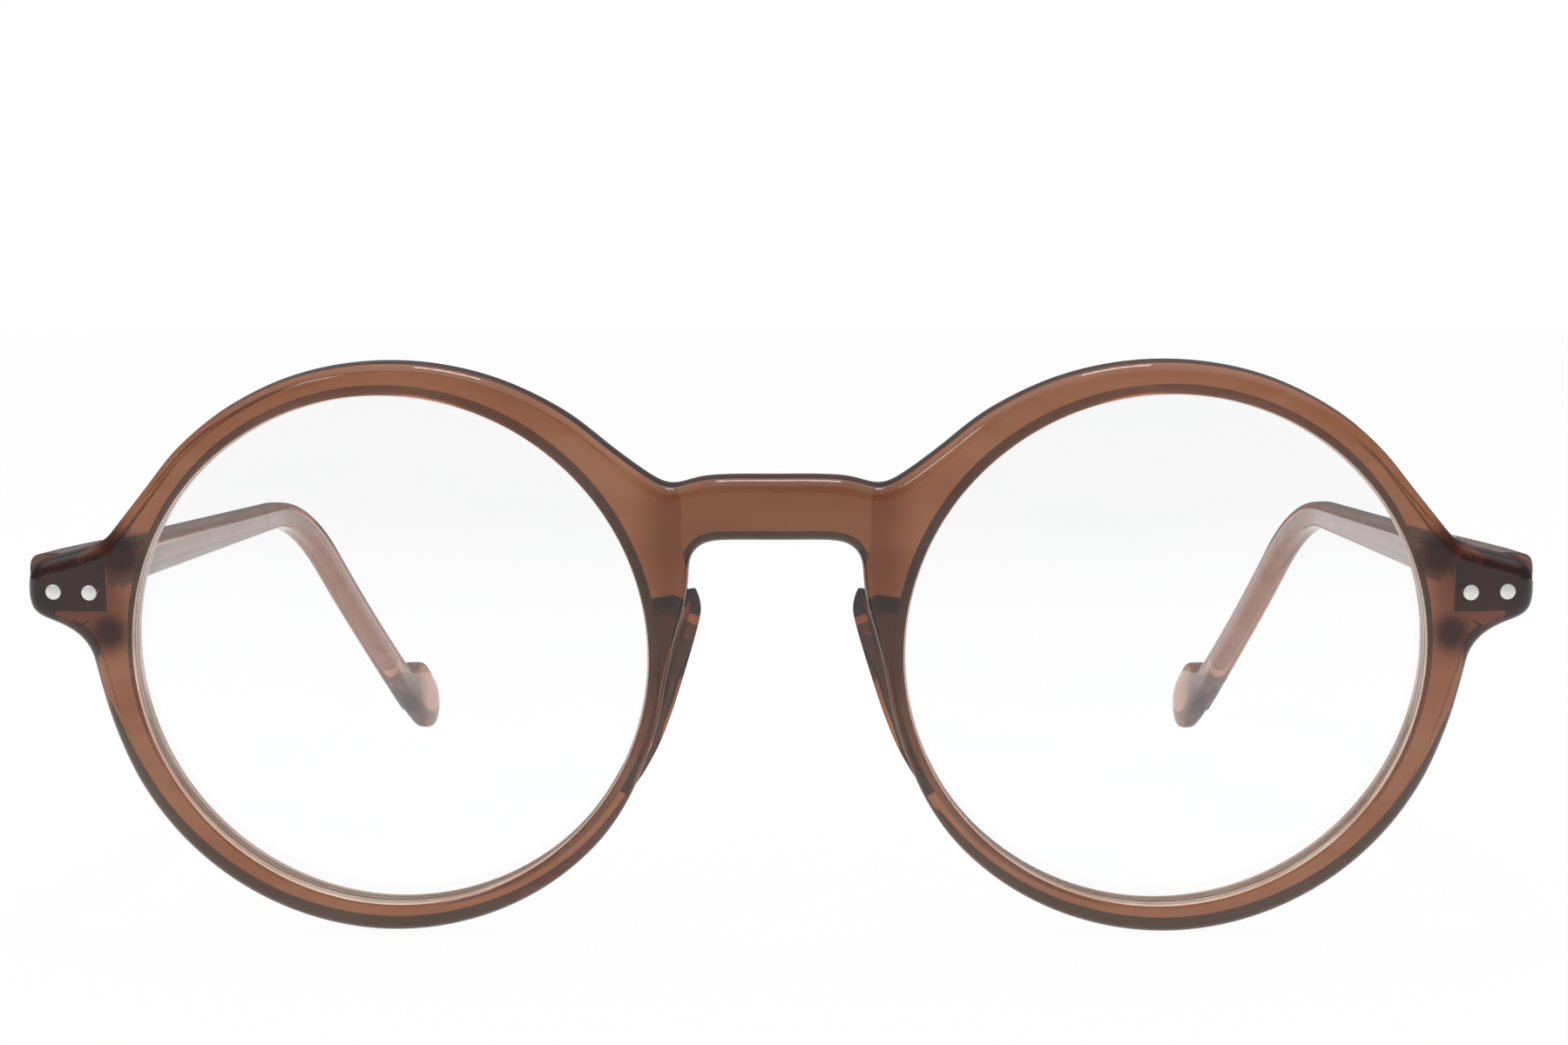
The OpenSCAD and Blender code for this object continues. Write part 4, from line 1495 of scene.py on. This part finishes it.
@dataclass
class TemplePath:
    """The line and the sections of a temple, in its own axes."""

    straight: float = 95.0
    bend_r: float = 34.0
    drop: float = 38.0
    slope: float = 0.2
    length: float = 146.545
    tip_in: float = 9.0
    tip_h: float = 7.3
    tip_l: float = 13.5
    butt_h: float = 5.2
    mid_h: float = 4.3
    bend_h: float = 3.0
    thick: float = 3.5
    bend_thick: float = 3.0
    thick_until: float = 9.6
    side_mid: float = 3.55

    @property
    def straight_l(self) -> float:
        """Length from the pin to where the bend starts."""
        return self.straight - self.bend_r * math.tan(math.radians(self.drop - self.slope) / 2)

    @property
    def bend_l(self) -> float:
        """Length of the bend."""
        return self.bend_r * math.radians(self.drop - self.slope)

    def angle(self, s: float) -> float:
        """Downward angle at a length from the pin, in radians."""
        share = min(1.0, max(0.0, (s - self.straight_l) / self.bend_l))
        return math.radians(self.slope + (self.drop - self.slope) * share)

    def middle(self, s: float) -> Place:
        """The temple's middle at a length from the pin."""
        low, a = math.radians(self.slope), self.angle(s)
        if s <= self.straight_l:
            y, z = s * math.cos(low), -s * math.sin(low)
        else:
            past, r = max(0.0, s - self.straight_l - self.bend_l), self.bend_r
            y = self.straight_l * math.cos(low) + r * (math.sin(a) - math.sin(low)) + past * math.cos(a)
            z = -self.straight_l * math.sin(low) + r * (math.cos(a) - math.cos(low)) - past * math.sin(a)
        return self.side_mid + self.sideways(s), y, z

    def sideways(self, s: float) -> float:
        """How far the temple has curved inwards, as a negative number."""
        return -self.tip_in * max(0.0, (s - self.straight_l) / (self.length - self.straight_l)) ** 1.4

    def half_height(self, s: float) -> float:
        """Half of the temple's height, without its flare."""
        at = (-5.0, 3.0, self.straight * 0.32, self.straight_l, self.straight_l + self.bend_l)
        high = (self.butt_h, self.butt_h, self.mid_h, self.bend_h, self.bend_h + 0.3)
        return float(np.interp(s, at, high)) / 2

    def half_thickness(self, s: float) -> float:
        """Half of the temple's thickness, which thins down to the bend."""
        return float(np.interp(s, (self.thick_until, self.straight_l), (self.thick, self.bend_thick))) / 2

    def corners(self, s: float) -> float:
        """How round a section's corners are, from 0, a box, to 1, an ellipse."""
        at = (14.0, 30.0, self.length - 24, self.length - 14, self.length - 5.5, self.length - 1)
        return float(np.interp(s, at, (0.42, 0.54, 0.54, 0.45, 0.47, 0.74)))

    def ring(self, s: float, count: int) -> list[Place]:
        """A section of the temple.

        Args:
            s: Its length from the pin.
            count: How many points it has.

        Returns:
            Its points.
        """
        x, y, z = self.middle(s)
        a, power = self.angle(s), self.corners(s)
        end = (s - self.length + self.tip_h / 2) / (self.tip_h / 2)
        k = math.sqrt(max(0.0004, 1 - end * end)) if end > 0 else 1.0
        share = min(1.0, max(0.0, (s - self.length + self.tip_l) / (self.tip_l * 0.5)))
        up = share * share * (3 - 2 * share) * (self.tip_h - self.bend_h - 0.3) / 2
        high = (self.half_height(s) + up) * k
        wide = self.half_thickness(s) * max(0.05, k**0.7)
        points = []
        for i in range(count):
            b = 2 * math.pi * (i + 0.5) / count
            cx = math.copysign(abs(math.cos(b)) ** power, math.cos(b))
            cz = math.copysign(abs(math.sin(b)) ** power, math.sin(b))
            h = up + cz * high
            points.append((x + cx * wide, y + h * math.sin(a), z + h * math.cos(a)))
        return points


@dataclass
class Temples:
    """The two temples with their core wires and tip inlays."""

    stance: Stance
    hinges: HingeSizes
    path: TemplePath
    wire_r: float = 0.65
    wire_start: float = 12.0
    wire_end: float = 16.5
    inlay_l: float = 7.0
    inlay_w: float = 2.4
    inlay_t: float = 0.7
    inlay_back: float = 9.0

    def stations(self) -> list[float]:
        """Lengths from the pin at which the temple's sections stand."""
        p = self.path
        end = p.length - p.tip_h / 2
        steps = [-5.0, *np.arange(-2.0, p.straight_l, 2.0)]
        steps += list(np.linspace(p.straight_l, p.straight_l + p.bend_l, 26))
        steps += list(np.arange(p.straight_l + p.bend_l + 0.8, end, 0.8))
        steps += [end + p.tip_h / 2 * math.sin(math.radians(a)) for a in np.linspace(0, 90, 22)]
        return [float(s) for s in steps]

    def body(self) -> Skin:
        """The temple's swept body."""
        skin = Skin()
        loops = [skin.add_points(self.path.ring(s, 56)) for s in self.stations()]
        skin.close_tube(loops)
        return skin

    def inlay_place(self) -> Matrix:
        """Takes the inlay's own axes, with X out of the face, to the temple's axes."""
        p, s = self.path, self.path.length - self.inlay_back
        x, y, z = p.middle(s)
        slant = -math.atan((p.sideways(s + 1) - p.sideways(s - 1)) / 2)
        place = Matrix.Translation((x + p.half_thickness(s), y, z))
        return place @ Matrix.Rotation(-p.angle(s), 4, "X") @ Matrix.Rotation(slant, 4, "Z")

    def inlay_skin(self, clear: float, out: float) -> Skin:
        """A slab with round ends that lies in the tip's outer face.

        Args:
            clear: How much wider it is than the inlay, all round.
            out: How far it stands out of the face.

        Returns:
            Its skin, in the inlay's own axes.
        """
        r, reach = self.inlay_w / 2 + clear, (self.inlay_l - self.inlay_w) / 2
        outline = []
        for i in range(48):
            b = 2 * math.pi * (i + 0.5) / 48
            outline.append((r * math.cos(b), r * math.sin(b) + math.copysign(reach, math.sin(b))))
        skin = Skin()
        round_off = 0.12 if clear == 0 else 0.0
        steps = [(-self.inlay_t - (0.02 if clear else 0.0), 1.0), (out - round_off, 1.0)]
        if round_off:
            steps += [(out - 0.035, 0.985), (out, 0.94)]
        loops = [skin.add_points((x, y * k, z * k) for z, y in outline) for x, k in steps]
        skin.close_tube(loops)
        return skin

    def cutters(self) -> list[bpy.types.Object]:
        """The mitred end, the leaf's and inlay's pockets and the rivet holes."""
        h = self.hinges
        inner, gap, c = h.pin_inset - h.mitre, h.butt_gap, h.pocket_clear
        butt = Skin()
        butt.add_prism(
            [
                (-4, -h.pin_back + gap),
                (inner + gap * 0.4, -h.pin_back + gap),
                (h.pin_inset + 4, -h.pin_back - h.mitre - 4 + gap * 1.4),
                (h.pin_inset + 4, -14),
                (-4, -14),
            ],
            -12,
            12,
        )
        pocket = Skin()
        side = h.temple_side
        pocket.add_box(
            (side - 1, -h.knuckle_r - c - 1, -h.leaf_h / 2 - c + 0.05),
            (side + h.leaf_t + 0.03, h.temple_leaf_l - h.knuckle_r + c, h.leaf_h / 2 + c - 0.05),
        )
        holes, r = Skin(), h.rivet_r + h.rivet_clear
        for y in h.temple_rivets:
            place = Matrix.Translation((0, y, 0)) @ Matrix.Rotation(math.radians(90), 4, "Y")
            holes.add_round([(r, 0.0), (r, 12.0)], place, 64)
        return [
            butt.to_object("butt", self.stance.hinge),
            pocket.to_object("pocket", self.stance.temple),
            self.inlay_skin(c, 1.0).to_object("inlay_pocket", self.stance.temple @ self.inlay_place()),
            holes.to_object("holes", self.stance.temple),
        ]

    def wire(self) -> Skin:
        """The wire along the temple's middle, with rounded ends."""
        p = self.path
        first, last = self.wire_start, p.length - self.wire_end
        steps = [(first, 0.5), (first + 0.15, 0.85), (first + 0.4, 1.0)]
        steps += [(float(s), 1.0) for s in np.linspace(first + 2, last - 1.5, 90)]
        steps += [(last - 0.4, 1.0), (last - 0.15, 0.85), (last, 0.5)]
        skin = Skin()
        loops = []
        for s, k in steps:
            x, y, z = p.middle(s)
            a, ring = p.angle(s), []
            for i in range(24):
                b = 2 * math.pi * i / 24
                h = self.wire_r * k * math.sin(b)
                ring.append((x + self.wire_r * k * math.cos(b), y + h * math.sin(a), z + h * math.cos(a)))
            loops.append(skin.add_points(ring))
        skin.close_tube(loops)
        return skin

    def build(self, finishes: Finishes) -> None:
        """Builds and dresses both temples, their wires and their inlays."""
        body = self.body().to_object("temple_arm_left", self.stance.temple)
        cut_away(body, self.cutters())
        smooth_below(body, 28)
        wire = self.wire().to_object("core_left", self.stance.temple)
        smooth_below(wire, 50)
        inlay_place = self.stance.temple @ self.inlay_place()
        inlay = self.inlay_skin(0.0, 0.0).to_object("inlay_left", inlay_place)
        smooth_below(inlay, 40)
        acetate = TempleAcetate(inlay_at=tuple(c / 1000 for c in inlay_place.translation)).make()
        parts = (
            (body, "temple_arm", "temple", "acetate", acetate),
            (wire, "core", "core_wire", "wire_steel", finishes.wire),
            (inlay, "inlay", "tip_inlay", "inlay_metal", finishes.inlay),
        )
        for piece, name, node, slot, finish in parts:
            other = mirrored(piece, f"{name}_right")
            for one, side in ((piece, Side.LEFT), (other, Side.RIGHT)):
                hand_over(one, side.temple_body, [f"{node}_{side.word}"], finish)


@dataclass
class Hardware:
    """The rivets, the hinge leaves and the hinge screws."""

    front: Front
    hinges: HingeSizes
    softness: float = 0.07

    def rivet(self, skin: Skin, length: float, matrix: Matrix) -> None:
        """Adds one rivet with a domed end and a fine ring turned round it.

        Args:
            skin: Takes the rivet.
            length: Its length without its dome.
            matrix: Takes its axis, which is Z, to its place.
        """
        r, dome = self.hinges.rivet_r, self.hinges.rivet_dome
        profile = [(0.0, 0.0), (r - 0.06, 0.0), (r, 0.06), (r, length - 0.02)]
        for a in (18, 34, 50, 66, 80):
            t = math.radians(a)
            profile.append((r * math.cos(t), length + dome * math.sin(t)))
        profile.append((0.0, length + dome))
        skin.add_round(profile, matrix, 48)

    def front_rivets(self) -> Skin:
        """The pair of rivets through the endpiece, in the hinge's own axes."""
        h, f, skin = self.hinges, self.front, Skin()
        lean = math.radians(f.stance.lean)
        for x in h.front_rivets:
            u = f.stance.pin[0] + x * math.cos(lean)
            y = f.stance.pin[1] + x * math.sin(lean)
            length = (y - f.depth(u, 0.0)) / math.cos(lean) - h.pin_back
            place = Matrix.Translation((x, -h.pin_back, 0)) @ Matrix.Rotation(math.radians(90), 4, "X")
            self.rivet(skin, length, place)
        return skin

    def temple_rivets(self) -> Skin:
        """The pair of rivets through the temple, in the temple's own axes."""
        h, skin = self.hinges, Skin()
        for y in h.temple_rivets:
            place = Matrix.Translation((h.temple_side, y, 0)) @ Matrix.Rotation(math.radians(90), 4, "Y")
            self.rivet(skin, h.temple_t, place)
        return skin

    def build(self, finishes: Finishes) -> None:
        """Builds and dresses all the metal pieces of both hinges."""
        stance = self.front.stance
        pairs = (
            (self.front_rivets(), stance.hinge, "front_rivet_pair", "front_rivets"),
            (self.temple_rivets(), stance.temple, "temple_rivet_pair", "temple_rivets"),
        )
        for skin, matrix, name, node in pairs:
            left = skin.to_object(f"{name}_left", matrix)
            smooth_below(left, 40)
            right = mirrored(left, f"{name}_right")
            for piece, side in ((left, Side.LEFT), (right, Side.RIGHT)):
                body = "front" if node == "front_rivets" else side.temple_body
                hand_over(piece, body, [f"{node}_{side.word}"], finishes.rivet)
        for side in Side:
            for node, name, body, finish in (
                ("front_hinge", "front_leaf", "front", finishes.hinge),
                ("temple_hinge", "temple_leaf", side.temple_body, finishes.hinge),
                ("hinge_screw", "screw", "front", finishes.screw),
            ):
                piece = softened_copy(f"{node}_{side.word}", f"{name}_{side.word}", self.softness)
                hand_over(piece, body, [f"{node}_{side.word}"], finish)


# ----------------------------------------------------------------- the studio


@dataclass
class Studio:
    """A white floor and surroundings, with lamps above and in front."""

    floor_half: float = 3.0
    own_light: float = 0.96
    surround: float = 0.92
    dim: float = 0.16
    floor_bright: Flat = (-0.32, -0.08)
    top_bright: Flat = (0.5, 0.85)
    aim: Place = (0.0, 0.0, 0.02)
    top_at: Place = (0.0, 0.05, 0.7)
    top_size: float = 0.18
    top_power: float = 0.9
    front_at: Place = (-0.45, -0.7, 0.5)
    front_size: float = 0.16
    front_power: float = 0.5

    def white_to_eye(
        self,
        sheet: Sheet,
        kind: str,
        lit: bpy.types.NodeSocket,
        share: float,
        bright: Signal,
    ) -> bpy.types.NodeSocket:
        """Mixes what the camera, gloss and glass see with what lights the object.

        The camera, and glass that is looked straight through, see white. Gloss, and
        light that was thrown back inside a piece, see a dim studio with a bright top.

        Args:
            sheet: The sheet of the floor or the world.
            kind: The type of the node that glows.
            lit: The shader that everything else meets.
            share: How much of the white they see.
            bright: How bright the studio is there, from 0 to 1.

        Returns:
            The mixed shader.
        """
        path = sheet.add("ShaderNodeLightPath")
        eye = Signal(sheet, path.outputs["Is Camera Ray"])
        gloss = Signal(sheet, path.outputs["Is Glossy Ray"])
        through = Signal(sheet, path.outputs["Is Transmission Ray"])
        thrown = Signal(sheet, path.outputs["Glossy Depth"]).at_most(1.0)
        straight = (eye + through * (1 - thrown)).at_most(1.0)
        bounced = (gloss + through * thrown).at_most(1.0)
        white = sheet.add(kind, {}, {"Color": (1, 1, 1, 1), "Strength": 1.0}).outputs[0]
        dim = sheet.add(kind, {}, {"Color": (1, 1, 1, 1), "Strength": self.dim}).outputs[0]
        around = sheet.add("ShaderNodeMixShader", {}, {0: bright, 1: dim, 2: white}).outputs[0]
        seen = sheet.add("ShaderNodeMixShader", {}, {0: straight * share, 1: lit, 2: white}).outputs[0]
        return sheet.add("ShaderNodeMixShader", {}, {0: bounced * share, 1: seen, 2: around}).outputs[0]

    def floor(self) -> None:
        """Lays the floor."""
        mesh = bpy.data.meshes.new("floor")
        s = self.floor_half
        mesh.from_pydata([(-s, -s, 0), (s, -s, 0), (s, s, 0), (-s, s, 0)], [], [(0, 1, 2, 3)])
        floor = bpy.data.objects.new("floor", mesh)
        bpy.context.scene.collection.objects.link(floor)
        material, sheet = new_material("white_table")
        pale = {"Base Color": (0.96, 0.96, 0.96, 1), "Roughness": 0.6}
        matt = sheet.add("ShaderNodeBsdfPrincipled", {}, pale)
        _, back, _ = sheet.parts(sheet.place)
        bright = back.ramp(*self.floor_bright)
        sheet.output(self.white_to_eye(sheet, "ShaderNodeEmission", matt.outputs[0], self.own_light, bright))
        mesh.materials.append(material)

    def surroundings(self) -> None:
        """Makes the world white where it is seen and soft where it lights."""
        world = bpy.data.worlds.new("white_surround")
        bpy.context.scene.world = world
        world.use_nodes = True
        sheet = Sheet(world.node_tree)
        lit = sheet.add("ShaderNodeBackground", {}, {"Color": (1, 1, 1, 1), "Strength": self.surround})
        _, _, high = sheet.parts(sheet.add("ShaderNodeTexCoord").outputs["Generated"])
        bright = high.ramp(*self.top_bright)
        mixed = self.white_to_eye(sheet, "ShaderNodeBackground", lit.outputs[0], 1.0, bright)
        sheet.add("ShaderNodeOutputWorld", {}, {"Surface": mixed})

    def lamp(self, name: str, at: Place, aim: Place, size: float, power: float) -> None:
        """Hangs one soft square lamp.

        Args:
            name: Its name.
            at: Where it hangs.
            aim: The point that it faces.
            size: The length of its sides.
            power: Its power in watts.
        """
        light = bpy.data.lights.new(name, "AREA")
        light.size = size
        light.energy = power
        lamp = bpy.data.objects.new(name, light)
        lamp.location = at
        lamp.rotation_mode = "QUATERNION"
        lamp.rotation_quaternion = (Vector(aim) - Vector(at)).to_track_quat("-Z", "Y")
        bpy.context.scene.collection.objects.link(lamp)

    def build(self) -> None:
        """Builds the floor, the surroundings and the lamps."""
        self.floor()
        self.surroundings()
        self.lamp("lamp_above", self.top_at, self.aim, self.top_size, self.top_power)
        self.lamp("lamp_front", self.front_at, self.aim, self.front_size, self.front_power)
        view = bpy.context.scene.view_settings
        view.view_transform = "Standard"
        log.info("studio: floor, surroundings and lamps")


@dataclass
class Camera:
    """The camera, where it stood for the photograph."""

    focal_px: float = 3797.3
    place: Place = (0.00798, -0.36909, 0.06114)
    yaw: float = -1.391
    pitch: float = -4.377
    roll: float = 0.149
    width_px: float = 1800.0

    def build(self) -> None:
        """Makes the camera and gives it to the scene."""
        yaw, pitch, roll = (math.radians(a) for a in (self.yaw, self.pitch, self.roll))
        ahead = Vector((math.sin(yaw) * math.cos(pitch), math.cos(yaw) * math.cos(pitch), math.sin(pitch)))
        level = Vector((math.cos(yaw), -math.sin(yaw), 0))
        upright = level.cross(ahead)
        right = math.cos(roll) * level - math.sin(roll) * upright
        up = math.sin(roll) * level + math.cos(roll) * upright
        data = bpy.data.cameras.new("camera")
        data.sensor_fit = "HORIZONTAL"
        data.sensor_width = 36.0
        data.lens = 36.0 * self.focal_px / self.width_px
        data.clip_start, data.clip_end = 0.01, 20.0
        camera = bpy.data.objects.new("camera", data)
        turn = Matrix((right, up, -ahead)).transposed()
        camera.matrix_world = Matrix.Translation(self.place) @ turn.to_4x4()
        bpy.context.scene.collection.objects.link(camera)
        bpy.context.scene.camera = camera
        log.info("camera: %.1f mm lens", data.lens)


def main() -> None:
    """Builds the glasses, the studio and the camera in order."""
    logging.basicConfig(level=logging.INFO, format="%(name)s: %(message)s")
    finishes = Finishes()
    stance = Stance()
    hinges = HingeSizes()
    front = Front(stance, hinges)
    front.build(finishes)
    Lenses(front).build(finishes)
    NosePads(front).build(finishes)
    Temples(stance, hinges, TemplePath()).build(finishes)
    Hardware(front, hinges).build(finishes)
    Studio().build()
    Camera().build()


if __name__ == "__main__":
    main()
